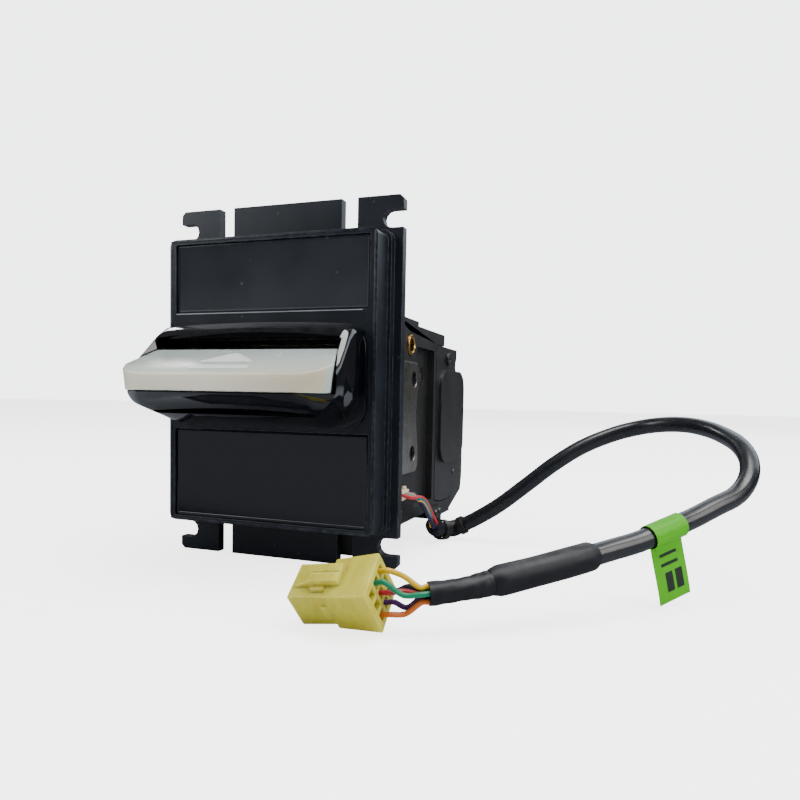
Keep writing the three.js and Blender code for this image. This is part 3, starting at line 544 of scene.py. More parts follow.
# block between two places, with its edges rounded by some mm
def boxMesh(a, b, rounded, segments=2):
    bm = bmesh.new()
    bmesh.ops.create_cube(bm, size=1, matrix=Matrix.Translation((a + b) / 2) @ Matrix.Diagonal((*(b - a), 1)))
    if rounded:
        roundEdges(bm, rounded * mm, segments, list(bm.edges))
    return bm


# block between two corners in design mm
def blockMesh(low, high, rounded=0.0, segments=2):
    return boxMesh(at(*low), at(*high), rounded, segments)


# block in mm about the origin, for shapes that are turned and moved afterwards
def localBlock(low, high, rounded=0.0):
    return boxMesh(Vector(low) * mm, Vector(high) * mm, rounded)


def madeVerts(result):
    return [item for item in result["geom"] if isinstance(item, bmesh.types.BMVert)]


# flat face from a few corners, some of them rounded, pulled along one way
def slabMesh(corners, pull, rounded=0.0, segments=4):
    bm = bmesh.new()
    face = bm.faces.new([bm.verts.new(corner) for corner in corners])
    if rounded:
        bmesh.ops.bevel(bm, geom=list(bm.verts), offset=rounded, segments=segments, profile=0.5,
                        affect="VERTICES", material=-1)
    result = bmesh.ops.extrude_face_region(bm, geom=list(bm.faces))
    bmesh.ops.translate(bm, vec=pull, verts=madeVerts(result))
    bmesh.ops.recalc_face_normals(bm, faces=bm.faces)
    return bm


# profile of (along, radius) spun about an axis through a point
def turnedMesh(profile, centre, axis, steps=32):
    bm = bmesh.new()
    axis = Vector(axis).normalized()
    side = axis.orthogonal().normalized()
    verts = [bm.verts.new(centre + axis * along * mm + side * radius * mm) for along, radius in profile]
    edges = [bm.edges.new(pair) for pair in zip(verts, verts[1:])]
    bmesh.ops.spin(bm, geom=verts + edges, cent=centre, axis=axis, angle=math.tau, steps=steps,
                   use_merge=True)
    bmesh.ops.remove_doubles(bm, verts=bm.verts, dist=1e-6)
    bmesh.ops.holes_fill(bm, edges=[edge for edge in bm.edges if edge.is_boundary], sides=0)
    bmesh.ops.recalc_face_normals(bm, faces=bm.faces)
    return bm


def joinMeshes(*parts):
    total = bmesh.new()
    for part in parts:
        carrier = bpy.data.meshes.new("carrier")
        part.to_mesh(carrier)
        part.free()
        total.from_mesh(carrier)
        bpy.data.meshes.remove(carrier)
    return total


# cuts tool shapes out of a shape and gives the result back as a new bmesh
def carve(bm, tools):
    def lay(shape, label):
        mesh = bpy.data.meshes.new(label)
        shape.to_mesh(mesh)
        shape.free()
        item = bpy.data.objects.new(label, mesh)
        bpy.context.scene.collection.objects.link(item)
        return item
    base = lay(bm, "carve base")
    cutters = [lay(tool, "carve tool") for tool in tools]
    for cutter in cutters:
        step = base.modifiers.new("cut", "BOOLEAN")
        step.object = cutter
        step.operation = "DIFFERENCE"
        step.solver = "EXACT"
    bpy.context.view_layer.update()
    evaluated = base.evaluated_get(bpy.context.evaluated_depsgraph_get())
    result = bmesh.new()
    result.from_mesh(evaluated.to_mesh())
    evaluated.to_mesh_clear()
    for item in (base, *cutters):
        mesh = item.data
        bpy.data.objects.remove(item)
        bpy.data.meshes.remove(mesh)
    bmesh.ops.remove_doubles(result, verts=result.verts, dist=1e-6)
    return result


# a welded copy of a node with its flat faces made whole again
def weldedCopy(node, flat=1.0):
    bm = bmesh.new()
    bm.from_mesh(nodes[node].data)
    bmesh.ops.remove_doubles(bm, verts=bm.verts, dist=2e-6)
    bmesh.ops.dissolve_limit(bm, angle_limit=math.radians(flat), verts=bm.verts, edges=bm.edges)
    return bm


# piece that keeps its node's shape, with rounded edges
def copyPiece(name, node, material, bevel, body="frame"):
    return addPiece(name, weldedCopy(node), material, body=body, replaces=[node], bevel=bevel)


# smooth run of places through given ones, close enough together for a tube
def smoothRun(points, perSpan=4):
    run = []
    padded = [2 * points[0] - points[1], *points, 2 * points[-1] - points[-2]]
    for a, b, c, d in zip(padded, padded[1:], padded[2:], padded[3:]):
        for i in range(perSpan):
            t = i / perSpan
            run.append(0.5 * ((2 * b) + (c - a) * t + (2 * a - 5 * b + 4 * c - d) * t**2
                              + (3 * b - a - 3 * c + d) * t**3))
    run.append(points[-1].copy())
    return run


def ringEdges(bm, ring):
    return [bm.edges.get(pair) for pair in zip(ring, ring[1:] + ring[:1])]


# skin swept along a run of places, radius given at each, with UVs along and around
def sweptMesh(run, radii, sides=20, shape=None):
    bm = bmesh.new()
    uvLayer = bm.loops.layers.uv.new("run")
    side = (run[1] - run[0]).orthogonal().normalized()
    rings = []
    travelled = [0.0]
    for i, place in enumerate(run):
        ahead = run[min(i + 1, len(run) - 1)] - run[max(i - 1, 0)]
        ahead.normalize()
        side = (side - side.dot(ahead) * ahead).normalized()
        up = ahead.cross(side)
        radius = radii(i / (len(run) - 1)) if callable(radii) else radii
        matrix = frameAt(place, side, up, ahead)
        made = bmesh.ops.create_circle(bm, segments=sides, radius=radius, matrix=matrix)
        if shape:
            for k, vert in enumerate(made["verts"]):
                away = vert.co - place
                vert.co = place + away * shape(i, k)
        rings.append(made["verts"])
        if i:
            travelled.append(travelled[-1] + (place - run[i - 1]).length)
    where = {vert: (i, k) for i, ring in enumerate(rings) for k, vert in enumerate(ring)}
    for first, second in zip(rings, rings[1:]):
        bmesh.ops.bridge_loops(bm, edges=ringEdges(bm, first) + ringEdges(bm, second))
    for face in bm.faces:
        ks = [where[loop.vert][1] for loop in face.loops]
        wraps = max(ks) - min(ks) > sides / 2
        for loop in face.loops:
            i, k = where[loop.vert]
            around = k + sides if wraps and k < sides / 2 else k
            loop[uvLayer].uv = (around / sides, travelled[i] * 10)
    for ring in (rings[0], rings[-1]):
        bmesh.ops.contextual_create(bm, geom=ring)
    bmesh.ops.recalc_face_normals(bm, faces=bm.faces)
    return bm


harnessRoute = [at(*point) for point in (
    (50.4, 50.4, 9.5), (50.2, 56, 6.9), (50.8, 61.8, 5.3), (53.2, 66.4, 5), (57.6, 68.7, 6.2),
    (66, 68.2, 10.6), (78, 66.8, 18.6), (90, 68, 28.5), (102.5, 71, 39), (115, 75.5, 47.5),
    (128.5, 79.5, 53.6), (140, 80.4, 57), (150.5, 77, 58.8), (160, 70, 59), (167.5, 61, 57.6),
    (173, 51, 55.2), (176.6, 41, 52.4), (178.6, 31, 47.8), (177.6, 22.3, 42), (173, 14, 36.4),
    (165.5, 6, 33), (157, -2.6, 29.2), (148.4, -11.5, 26.2), (140.5, -18.6, 23.2),
    (132, -26, 21.2), (122.6, -35.3, 19.2), (111.6, -44.5, 16.8), (101.9, -52.9, 15),
    (94.5, -58.8, 13.6), (84.4, -64.8, 12.4), (77.4, -68.5, 12.9), (72.5, -69.05, 12.5),
)]
harness = {
    "jacket": 0.00348,
    "exitSleeve": 0.0039,
    "shrink": 0.0046,
    "endSleeve": 0.0036,
    "exitWire": 0.00088,
    "endWire": 0.00082,
}
perSpan = 4
harnessRun = smoothRun(harnessRoute, perSpan)


def runAt(position):
    return harnessRun[int(position * perSpan)]


def stretch(start, end):
    return harnessRun[int(start * perSpan):int(end * perSpan) + 1]


def runLength(run):
    return sum((b - a).length for a, b in zip(run, run[1:]))


# outer jacket, from inside the exit sleeve to inside the heat shrink
jacketRun = stretch(3.5, 26.5)
jacket = addPiece("cableJacket", sweptMesh(jacketRun, harness["jacket"], 24), jacketSkin,
                  replaces=["cable_jacket"], smooth=40)

# exit sleeve: slightly crushed tube, narrowing a little at its far end
exitRun = stretch(0, 4.25)


def sleeveRadius(t):
    return harness["exitSleeve"] * (1.0 + 0.05 * math.sin(9 * t) - 0.07 * max(0.0, t - 0.85) / 0.15)


exitSleeve = addPiece(
    "exitSleeve",
    sweptMesh(exitRun, sleeveRadius, 24, shape=lambda i, k: 1 + 0.025 * math.sin(k * 0.8 + i * 1.7)),
    shrinkSatin, replaces=["exit_sleeve"], smooth=40)

# heat shrink over the join, stepping down onto the thinner sleeve
shrinkRun = smoothRun(stretch(24.7, 27.4), 2)


def shrinkRadius(t):
    ends = min(1.0, t / 0.05, (1 - t) / 0.10)
    return harness["jacket"] + (harness["shrink"] - harness["jacket"]) * max(0.12, ends) ** 0.6


heatShrink = addPiece(
    "heatShrink",
    sweptMesh(shrinkRun, shrinkRadius, 28, shape=lambda i, k: 1 + 0.010 * math.sin(k * 0.9 + i * 0.45)),
    shrinkSatin, replaces=["heat_shrink"], smooth=40)

# thin end sleeve, crinkled where it was shrunk over the bundle
endRun = smoothRun(stretch(27.0, 29.1), 4)


def endRadius(t):
    return harness["endSleeve"] * (0.97 + 0.05 * math.sin(6 * t + 0.4))


def endCrinkle(i, k):
    return 1 + 0.022 * math.sin(k * 1.35 + i * 0.3) + 0.018 * math.sin(i * 1.1 + k * 0.4)


endSleeve = addPiece("endSleeve", sweptMesh(endRun, endRadius, 28, endCrinkle), shrinkSatin,
                     replaces=["end_sleeve"], smooth=45)
print("harness skins made, jacket", round(runLength(jacketRun), 4), "m")

# connector housing: step half-way, flared rim at the wire end, latch block on top
connector = {
    "place": (58.8, -68.6, 10.6),
    "turn": (36, -8, -2),
    "long": 26,
    "half": 6.3,
    "step": 0.8,
    "rim": 8.0,
    "rimLong": 1.2,
    "cavity": 1.6,
    "pitch": 4.3,
    "rib": 0.45,
    # low corner, high corner and rounding, along from the free end and up from the top face
    "latch": {
        "block": ((7, -3.3, -0.4), (16.5, 3.3, 3.3), 0.45),
        "groove": ((6, -0.5, 2.95), (17.5, 0.5, 4.3), 0.0),
        "ramp": ((1.5, -2.7, -0.4), (8, 2.7, 2.5), 0.4),
        "rightRail": ((7.5, -4.6, -0.4), (12, -3.1, 1.4), 0.3),
        "leftRail": ((7.5, 3.1, -0.4), (12, 4.6, 1.4), 0.3),
    },
    "rampFoot": (4, 1.6),
}
rollBy, pitchBy, yawBy = (math.radians(angle) for angle in connector["turn"])
housingTurn = Matrix.Rotation(yawBy, 4, "Z") @ Matrix.Rotation(pitchBy, 4, "Y")
housingTurn = housingTurn @ Matrix.Rotation(rollBy, 4, "X")
housingPlace = Matrix.Translation(at(*connector["place"])) @ housingTurn


def latchMesh():
    made = {label: localBlock(*block) for label, block in connector["latch"].items()}
    reach, drop = connector["rampFoot"]
    for vert in made["ramp"].verts:
        if vert.co.x < reach * mm and vert.co.z > 0:
            vert.co.z -= drop * mm
    made["block"] = carve(made["block"], [made.pop("groove")])
    shape = joinMeshes(*made.values())
    moveAll(shape, Matrix.Translation(Vector((-connector["long"] / 2, 0, connector["half"])) * mm))
    return shape


def buildHousing():
    half, end, pitch, hole = connector["half"], connector["long"] / 2, connector["pitch"], connector["cavity"]
    wide = half + connector["step"]
    rear = localBlock((-1, -wide, -wide), (end, wide, wide), 0.45)
    for vert in rear.verts:
        if vert.co.x > (end - connector["rimLong"]) * mm:
            vert.co.y *= connector["rim"] / wide
            vert.co.z *= connector["rim"] / wide
    front = localBlock((-end, -half, -half), (0, half, half), 0.45)
    rearTools, frontTools = [], []
    for row in (-pitch, 0, pitch):
        for column in (-pitch, 0, pitch):
            low, high = (row - hole, column - hole), (row + hole, column + hole)
            rearTools.append(localBlock((2, *low), (end + 1, *high), 0.25))
            frontTools.append(localBlock((-end - 1, *low), (-5, *high), 0.25))
    rib = connector["rib"]
    ribs = [localBlock((-3.2, y - rib, -2.6), (-0.6, y + rib, 2.6), 0.25) for y in (-half - rib, half + rib)]
    bm = joinMeshes(carve(rear, rearTools), carve(front, frontTools), latchMesh(), *ribs)
    moveAll(bm, housingPlace)
    return bm


housing = addPiece("connectorHousing", buildHousing(), housingNylon, replaces=["connector_housing"])


def addWire(label, colour, places, radius, sides):
    return addPiece(label + colour.capitalize(), sweptMesh(smoothRun(places, 6), radius, sides),
                    wireSkins[colour], smooth=50)


# six wires: cavity in the housing, place in the end sleeve's mouth, and lift half-way between
endWireSetup = {
    "yellow": ((4.3, 4.3), (0.2, 2.1), 0.6),
    "green": ((0, 4.3), (-1.6, 0.5), -2.0),
    "navy": ((4.3, -4.3), (1.9, 1.0), 0.9),
    "red": ((0, 0), (0.2, 0.1), 0.4),
    "purple": ((0, -4.3), (0.9, -1.4), -2.2),
    "orange": ((-4.3, -4.3), (-0.6, -2.2), -1.6),
}
sleeveMouth = runAt(29)
mouthWay = (runAt(29) - runAt(28.5)).normalized()
mouthSide = mouthWay.cross(Vector((0, 0, 1))).normalized()
mouthUp = mouthSide.cross(mouthWay)
faceWay = (housingTurn @ Vector((1, 0, 0))).normalized()
for colour, (hole, (across, rise), lift) in endWireSetup.items():
    start = sleeveMouth + (mouthSide * across + mouthUp * rise) * mm
    cavity = housingPlace @ (Vector((connector["long"] / 2, *hole)) * mm)
    middle = (start + cavity) / 2 + Vector((0, 0, lift * mm))
    places = [
        start - mouthWay * 6 * mm, start, start + mouthWay * 2.5 * mm, middle,
        cavity + faceWay * 2.6 * mm, cavity, cavity - faceWay * 6 * mm,
    ]
    addWire("connectorWire", colour, places, harness["endWire"], 12)
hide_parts("connector_wires")

# header on the chassis side, its plug and the six thin wires that leave it
headerSetup = {
    "outer": ((40.5, 12, 25), (46.6, 22, 31), 0.3),
    "room": ((43, 12.9, 25.9), (48, 21.1, 30.1), 0.15),
    "key": ((42.5, 15.5, 29.5), (48, 18.5, 32), 0.1),
    "plug": ((43.2, 13.1, 26.1), (48.2, 20.9, 29.9), 0.25),
}
headerParts = {label: blockMesh(*block) for label, block in headerSetup.items()}
headerShape = carve(headerParts["outer"], [headerParts["room"], headerParts["key"]])
addPiece("wireHeader", headerShape, creamNylon, replaces=["wire_header"])
addPiece("headerPlug", headerParts["plug"], creamNylon)
exitSetup = {
    "order": ("red", "green", "blue", "yellow", "purple", "navy"),
    "route": ((52, 33, 20.5), (51.4, 43, 13.8), (50.5, 49.9, 9.8)),
    "first": 13.7,
    "pitch": 1.32,
    "bundle": 1.5,
    "spread": (0.1, -0.1, -0.95),
}
upperBend, lowerBend, sleeveStart = (at(*point) for point in exitSetup["route"])
for i, colour in enumerate(exitSetup["order"]):
    y = exitSetup["first"] + i * exitSetup["pitch"]
    angle = 0.6 + i * math.tau / 6
    offset = Vector((math.cos(angle), 0, math.sin(angle))) * exitSetup["bundle"] * mm
    spread = Vector(exitSetup["spread"]) * (i - 2.5) * mm
    places = [
        at(46.5, y, 28), at(48.6, y + 0.3, 27.9), at(50.4, y + 3.2, 26.8),
        upperBend + spread * 0.9 + Vector((0, -3, 2)) * mm, lowerBend + spread * 0.8 + offset * 0.4,
        sleeveStart + offset, harnessRun[2] + offset * 0.8, harnessRun[6] + offset * 0.6,
    ]
    addWire("exitWire", colour, places, harness["exitWire"], 10)
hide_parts("exit_wires")

# flag label: a wrap round the cable and a free tail with plain bars printed on it
labelSetup = {
    "at": 22,
    "wide": 14.0,
    "tail": 20.0,
    "wrap": 3.98,
    "thick": 0.22,
    "wideSteps": 13,
    "turnSteps": 20,
    "tailSteps": 18,
    # printed bars: from and to down the tail, then across it
    "bars": (
        (0.16, 0.24, -0.6, 0.55), (0.32, 0.38, -0.6, 0.55),
        (0.50, 0.86, -0.62, -0.3), (0.50, 0.86, 0.0, 0.35),
    ),
}


# a strip of cells, rolled round the cable and then let hang
def labelMesh():
    along = (runAt(labelSetup["at"] + 0.5) - runAt(labelSetup["at"] - 0.5)).normalized()
    side = Vector((0, 0, 1)).cross(along).normalized()
    half, outer = labelSetup["wide"] / 2 * mm, labelSetup["wrap"] * mm
    turnSteps, tailSteps = labelSetup["turnSteps"], labelSetup["tailSteps"]
    bm = bmesh.new()
    bmesh.ops.create_grid(bm, x_segments=labelSetup["wideSteps"], y_segments=turnSteps + tailSteps, size=0.5)
    for vert in bm.verts:
        across = vert.co.x * 2 * half
        step = (vert.co.y + 0.5) * (turnSteps + tailSteps)
        if step <= turnSteps:
            angle = math.pi * 1.5 - step / turnSteps * math.tau
            vert.co = Vector((across, outer * math.cos(angle), outer * math.sin(angle)))
        else:
            fall = (step - turnSteps) / tailSteps
            curl = 0.55 * math.sin(fall * math.pi * 0.8) * fall
            vert.co = Vector((across, curl * mm, -outer - fall * labelSetup["tail"] * mm))
    for face in bm.faces:
        centre = face.calc_center_median()
        fall = (-outer - centre.z) / mm / labelSetup["tail"]
        where = centre.x / half
        if any(top < fall < foot and left < where < right for top, foot, left, right in labelSetup["bars"]):
            face.material_index = 1
    bmesh.ops.solidify(bm, geom=list(bm.faces), thickness=labelSetup["thick"] * mm)
    moveAll(bm, frameAt(harnessRoute[labelSetup["at"]], along, side, along.cross(side)))
    bmesh.ops.recalc_face_normals(bm, faces=bm.faces)
    return bm


flagLabel = addPiece("flagLabel", labelMesh(), [labelFilm, printInk], replaces=["flag_label"],
                     smooth=40)

# cable tie: flat band with its square head
tieSetup = {
    "at": 4.4,
    "band": ((-1.2, 3.75), (-1.2, 4.45), (1.2, 4.45), (1.2, 3.75), (-1.2, 3.75)),
    "head": ((-2, -1.0, -2.3), (2, 0.9, 2.3), 0.3),
    "headAside": 4.3,
    "headSunk": 0.2,
}


def tieMesh():
    centre = runAt(tieSetup["at"])
    axis = (runAt(4.75) - runAt(4.25)).normalized()
    band = turnedMesh(tieSetup["band"], centre, axis, 40)
    side = axis.cross(Vector((0, 0, 1))).normalized()
    up = side.cross(axis)
    head = localBlock(*tieSetup["head"])
    headPlace = centre - up * tieSetup["headSunk"] * mm + side * tieSetup["headAside"] * mm
    moveAll(head, frameAt(headPlace, axis, side, up))
    return joinMeshes(band, head)


cableTie = addPiece("cableTie", tieMesh(), tiePlastic, replaces=["cable_tie"])
copyPiece("cableClip", "cable_clip", bodyShell, (0.0002, 2))
print("harness and connector done")


copyPiece("frontPlate", "mounting_plate", satinBezel, (0.00035, 2))


panelSetup = {
    "upper": {"half": 42.95, "low": 101.25, "high": 128.6, "front": -12.9, "lip": 1.1, "sink": 0.12},
    "lower": {"half": 43.25, "low": 17.75, "high": 53.75, "front": -13.1, "lip": 1.4, "sink": 0.18},
    "thick": 0.9,
    "slope": 0.25,
    "edge": 0.12,
}


# panel laid in its pocket: thin slab with an inset lip and a slightly lower field
def panelMesh(half, low, high, front, lip, sink):
    bm = blockMesh((-half, front, low), (half, front + panelSetup["thick"], high))
    face = min(bm.faces, key=lambda one: one.calc_center_median().y)
    bmesh.ops.inset_region(bm, faces=[face], thickness=lip * mm, depth=0)
    bmesh.ops.inset_region(bm, faces=[face], thickness=panelSetup["slope"] * mm, depth=-sink * mm)
    roundEdges(bm, panelSetup["edge"] * mm, 2)
    return bm


addPiece("upperPanel", panelMesh(**panelSetup["upper"]), satinPanel, replaces=["upper_panel"])
addPiece("lowerPanel", panelMesh(**panelSetup["lower"]), glossPanel, replaces=["lower_panel"])
# thin strip along the lower edge of the upper panel's pocket, coloured light grey: a painted highlight for
# the bevel that catches the light there
ledgeHighlightPaint = finish("ledgeHighlightPaint", (0.30, 0.33, 0.37, 1), 0.22, grain=(2400.0, 90.0, 0.5),
                      bump=(0.05, 0.00003), scratch=0.4)
highlightLedgeSetup = {"low": (-42.9, -13.92, 100.55), "high": (40.5, -13.1, 100.95), "rounded": 0.08}
addPiece("paintedHighlightLedge", blockMesh(**highlightLedgeSetup), ledgeHighlightPaint)
borderSetup = {"half": 45.6, "low": 15.9, "high": 130.5, "wide": 0.7, "front": -13.98, "back": -13.6}


# thin raised border round the whole bezel face
def borderMesh():
    half, low, high, wide, front, back = borderSetup.values()
    bars = (
        (-half, wide - half, low, high), (half - wide, half, low, high),
        (-half, half, high - wide, high), (-half, half, low, low + wide),
    )
    return joinMeshes(*(blockMesh((a, front, b), (c, back, d), 0.06) for a, c, b, d in bars))


addPiece("bezelBorder", borderMesh(), satinBezel)
print("front plate done")

hoodSetup = {
    # place along the depth, half width, bottom, top
    "sections": (
        (-13.9, 41.8, 55.6, 96.4), (-19, 41.9, 55.8, 96.2), (-24, 42, 56.1, 95.4),
        (-28, 42.2, 57.0, 92.6), (-33, 42.8, 58.9, 87.4), (-38, 43.5, 61.3, 82.4),
        (-41.8, 43.6, 63.3, 79.2), (-44.2, 41.0, 64.8, 76.8), (-47, 36.9, 66.6, 74),
        (-50, 32.4, 68.5, 70.7),
    ),
    # wedges cut for the mouth and for the lens pocket: depth, height and half width of each side corner
    "mouth": (
        ((-60, 70.5, 43.2), (-42.1, 79.5, 43.2), (-42.1, 92.3, 43.2), (-60, 92.3, 43.2)),
        ((-42.2, 79.5, 43.2), (-30.3, 85.3, 38.9), (-30.3, 91.8, 40.2), (-42.2, 92.2, 43.2)),
        ((-30.4, 85.3, 38.9), (-10, 85.3, 38.9), (-10, 90.2, 38.9), (-26, 91.6, 38.9), (-30.4, 91.8, 38.9)),
    ),
    "pocket": (
        ((-51, 68.7, 32.4), (-42.1, 68.7, 43.4), (-42.1, 79.6, 43.4), (-51, 75.1, 32.4)),
        ((-42.2, 68.7, 43.4), (-30.1, 68.7, 38.9), (-30.1, 85.4, 38.9), (-42.2, 79.6, 43.4)),
    ),
    "front": ((-60, -70, 68.8), (60, -41.6, 110)),
    "room": ((-34, -39, 60.7), (34, -10, 68.9), 0.4),
    "roof": 91,
    "lowCorner": 13.5,
    "highCorner": 4.6,
    "crown": 1.5,
    "mouthArch": 2.6,
    "dish": ((0, -55.0, 41.3), (116, 27, 27)),
    # half width, bottom, top, corner, thickness and the face that it stands on
    "flange": (43.2, 55.1, 95.5, 9.5, 2.6, -14.1),
    # the mouth and the board's room behind the hood
    "flangeHoles": (((-38.9, -20, 84.9), (38.9, -10, 90.6)), ((-33.5, -20, 61), (33.5, -10, 68.5))),
    "topCuts": 14,
}


# one rounded section of the hood as a ring of vertices, crowned along its top
def hoodRing(bm, depth, half, low, high):
    tall = high - low
    lowCorner = min(hoodSetup["lowCorner"], tall * 0.52)
    highCorner = min(hoodSetup["highCorner"], tall * 0.40)
    points = []
    for side, level, radius, start, steps in (
        (half, low, lowCorner, -90, 9), (half, high, highCorner, 0, 6),
        (-half, high, highCorner, 90, 6), (-half, low, lowCorner, 180, 9),
    ):
        middleX = side - math.copysign(radius, side)
        middleZ = low + radius if level == low else high - radius
        for step in range(steps + 1):
            angle = math.radians(start + 90 * step / steps)
            points.append((middleX + radius * math.cos(angle), middleZ + radius * math.sin(angle)))
        if start in (0, 180):
            reach = 2 * middleX
            cuts = hoodSetup["topCuts"]
            points += [(middleX - reach * cut / cuts, points[-1][1]) for cut in range(1, cuts)]
    ring = []
    for x, z in points:
        lift = max(0, (z - high + highCorner) / highCorner)
        ring.append(bm.verts.new(at(x, depth, z - lift * hoodSetup["crown"] * (x / 44) ** 2)))
    return ring


# solid with side corners given as (depth, height, half width)
def wedgeMesh(corners):
    bm = bmesh.new()
    face = bm.faces.new([bm.verts.new(at(-half, y, z)) for y, z, half in corners])
    made = bmesh.ops.extrude_face_region(bm, geom=[face])
    for vert in madeVerts(made):
        vert.co.x = -vert.co.x
    bmesh.ops.recalc_face_normals(bm, faces=bm.faces)
    return bm


def hoodMesh():
    body = bmesh.new()
    rings = [hoodRing(body, *section) for section in hoodSetup["sections"]]
    for first, second in zip(rings, rings[1:]):
        for step in range(len(first)):
            body.faces.new((first[step - 1], first[step], second[step], second[step - 1]))
    body.faces.new(rings[0])
    body.faces.new(reversed(rings[-1]))
    bmesh.ops.recalc_face_normals(body, faces=body.faces)
    # the mouth's roof is arched where it shows
    mouth = [wedgeMesh(corners) for corners in hoodSetup["mouth"]]
    level = hoodSetup["roof"] * mm
    for tool in mouth:
        roof = [edge for edge in tool.edges if edge.calc_length() > 70 * mm and edge.verts[0].co.z > level]
        bmesh.ops.subdivide_edges(tool, edges=roof, cuts=15, use_grid_fill=True)
        for vert in tool.verts:
            if vert.co.z > level:
                vert.co.z -= hoodSetup["mouthArch"] * mm * (vert.co.x / (43 * mm)) ** 2
    pocket = [wedgeMesh(corners) for corners in hoodSetup["pocket"]]
    # shallow oval dish under the lip
    dish = bmesh.new()
    bmesh.ops.create_uvsphere(dish, u_segments=72, v_segments=48, radius=1)
    place, radii = hoodSetup["dish"]
    moveAll(dish, Matrix.Translation(at(*place)) @ Matrix.Diagonal((*(radius * mm for radius in radii), 1)))
    return carve(body, [*mouth, *pocket, blockMesh(*hoodSetup["front"]), blockMesh(*hoodSetup["room"]), dish])


addPiece("mouthHood", hoodMesh(), pianoHood, replaces=["mouth_hood"], smooth=30,
         bevel=(0.00045, 3))


def flangeMesh():
    half, low, high, corner, thick, front = hoodSetup["flange"]
    corners = [at(x, front, z) for x, z in ((-half, low), (half, low), (half, high), (-half, high))]
    bm = slabMesh(corners, (0, -thick * mm, 0), corner * mm, 10)
    return carve(bm, [blockMesh(*corners) for corners in hoodSetup["flangeHoles"]])


addPiece("hoodFlange", flangeMesh(), pianoHood, bevel=(0.0007, 3))
print("hood done")

lensSetup = {
    # half width at each depth, from the nose to the back
    "plan": ((-50, 31.8), (-49.5, 35.4), (-48.1, 38.6), (-45.8, 41.3), (-42.6, 42.9), (-30.4, 38.6)),
    "low": 69,
    "tuck": 0.972,
    "slope": math.atan2(9.7, 19.6),
    "noseTop": 75.3,
    "mark": (
        ((-11.8, -41.6), (11.8, -41.6), (1.4, -34.6), (-1.4, -34.6)),
        ((-11.8, -46.9), (11.8, -46.9), (11.8, -44.0), (-11.8, -44.0)),
    ),
    "markProud": 0.16,
    "markSunk": 0.05,
    "markCorner": 0.9,
}


def lensTop(y):
    return lensSetup["noseTop"] + (y + 50) * math.tan(lensSetup["slope"])


# plan outline drawn up to the sloping top, a little narrower at the bottom
def lensMesh():
    bm = bmesh.new()
    plan = lensSetup["plan"]
    outline = [(half, y) for y, half in plan] + [(-half, y) for y, half in reversed(plan)]
    tuck = lensSetup["tuck"]
    face = bm.faces.new([bm.verts.new(at(x * tuck, y, lensSetup["low"])) for x, y in outline])
    made = bmesh.ops.extrude_face_region(bm, geom=[face])
    for vert in madeVerts(made):
        vert.co.z = lensTop((vert.co.y - plateY) / mm) * mm
        vert.co.x /= tuck
    bmesh.ops.recalc_face_normals(bm, faces=bm.faces)
    roundEdges(bm, 0.55 * mm, 3, sharpEdges(bm, 30))
    return bm


addPiece("entryLens", lensMesh(), lensMilk, replaces=["entry_lens"], smooth=20)


# arrow and bar standing slightly proud of the sloping top, all corners round
def lensMarkMesh():
    slope, sunk = lensSetup["slope"], lensSetup["markSunk"]
    lift = Vector((0, -math.sin(slope), math.cos(slope))) * (lensSetup["markProud"] + sunk) * mm
    shapes = []
    for outline in lensSetup["mark"]:
        corners = [at(x, y, lensTop(y) - sunk) for x, y in outline]
        shapes.append(slabMesh(corners, lift, lensSetup["markCorner"] * mm, 5))
    return joinMeshes(*shapes)


addPiece("lensArrow", lensMarkMesh(), lensMark, smooth=25)
print("lens done")


copyPiece("chassisShell", "chassis", bodyShell, (0.0003, 2))
sideSetup = {
    "insert": (
        (-5.4, 2.75), (-5.4, 4.6), (-0.7, 4.6), (-0.7, 4.35), (-0.3, 4.35), (0, 4.1), (0.05, 3.35),
        (-0.35, 2.85), (-5.4, 2.75),
    ),
    "insertPlace": (46.75, 26, 91),
    "pin": (
        (-6, 0), (-6, 1.5), (0.2, 1.5), (0.25, 3.2), (1.2, 3.1), (1.5, 2.7), (1.5, 1.2), (1.1, 1.0), (1.1, 0),
    ),
    "pinPlace": (46.05, 82.5, 88.5),
}


# turned piece that faces outward, on the right for sign 1 and on the left for sign -1
def sideTurned(kind, sign, steps):
    x, y, z = sideSetup[kind + "Place"]
    return turnedMesh(sideSetup[kind], at(sign * x, y, z), (sign, 0, 0), steps)


for side, sign in (("Right", 1), ("Left", -1)):
    copyPiece("sideStrip" + side, "bracket_" + side.lower(), nickelStrip, (0.0002, 2))
    addPiece("brassInsert" + side, sideTurned("insert", sign, 40), brassTurned,
             replaces=["insert_" + side.lower()], smooth=25)


# pan-head screw with a cross recess, facing along a given way
def screwMesh(centre, way, radius, tall=0.8):
    profile = [(-0.4, 0), (-0.4, radius * 0.93), (0, radius), (tall * 0.45, radius * 0.96),
               (tall * 0.85, radius * 0.72), (tall, radius * 0.3), (tall, 0)]
    head = turnedMesh(profile, centre, way, 28)
    axis = Vector(way).normalized()
    side = axis.orthogonal().normalized()
    tools = []
    for a, b in ((0.62, 0.16), (0.16, 0.62)):
        tool = localBlock((-radius * a, -radius * b, tall * 0.25), (radius * a, radius * b, tall + 1))
        moveAll(tool, frameAt(centre, side, axis.cross(side), axis))
        tools.append(tool)
    return carve(head, tools)


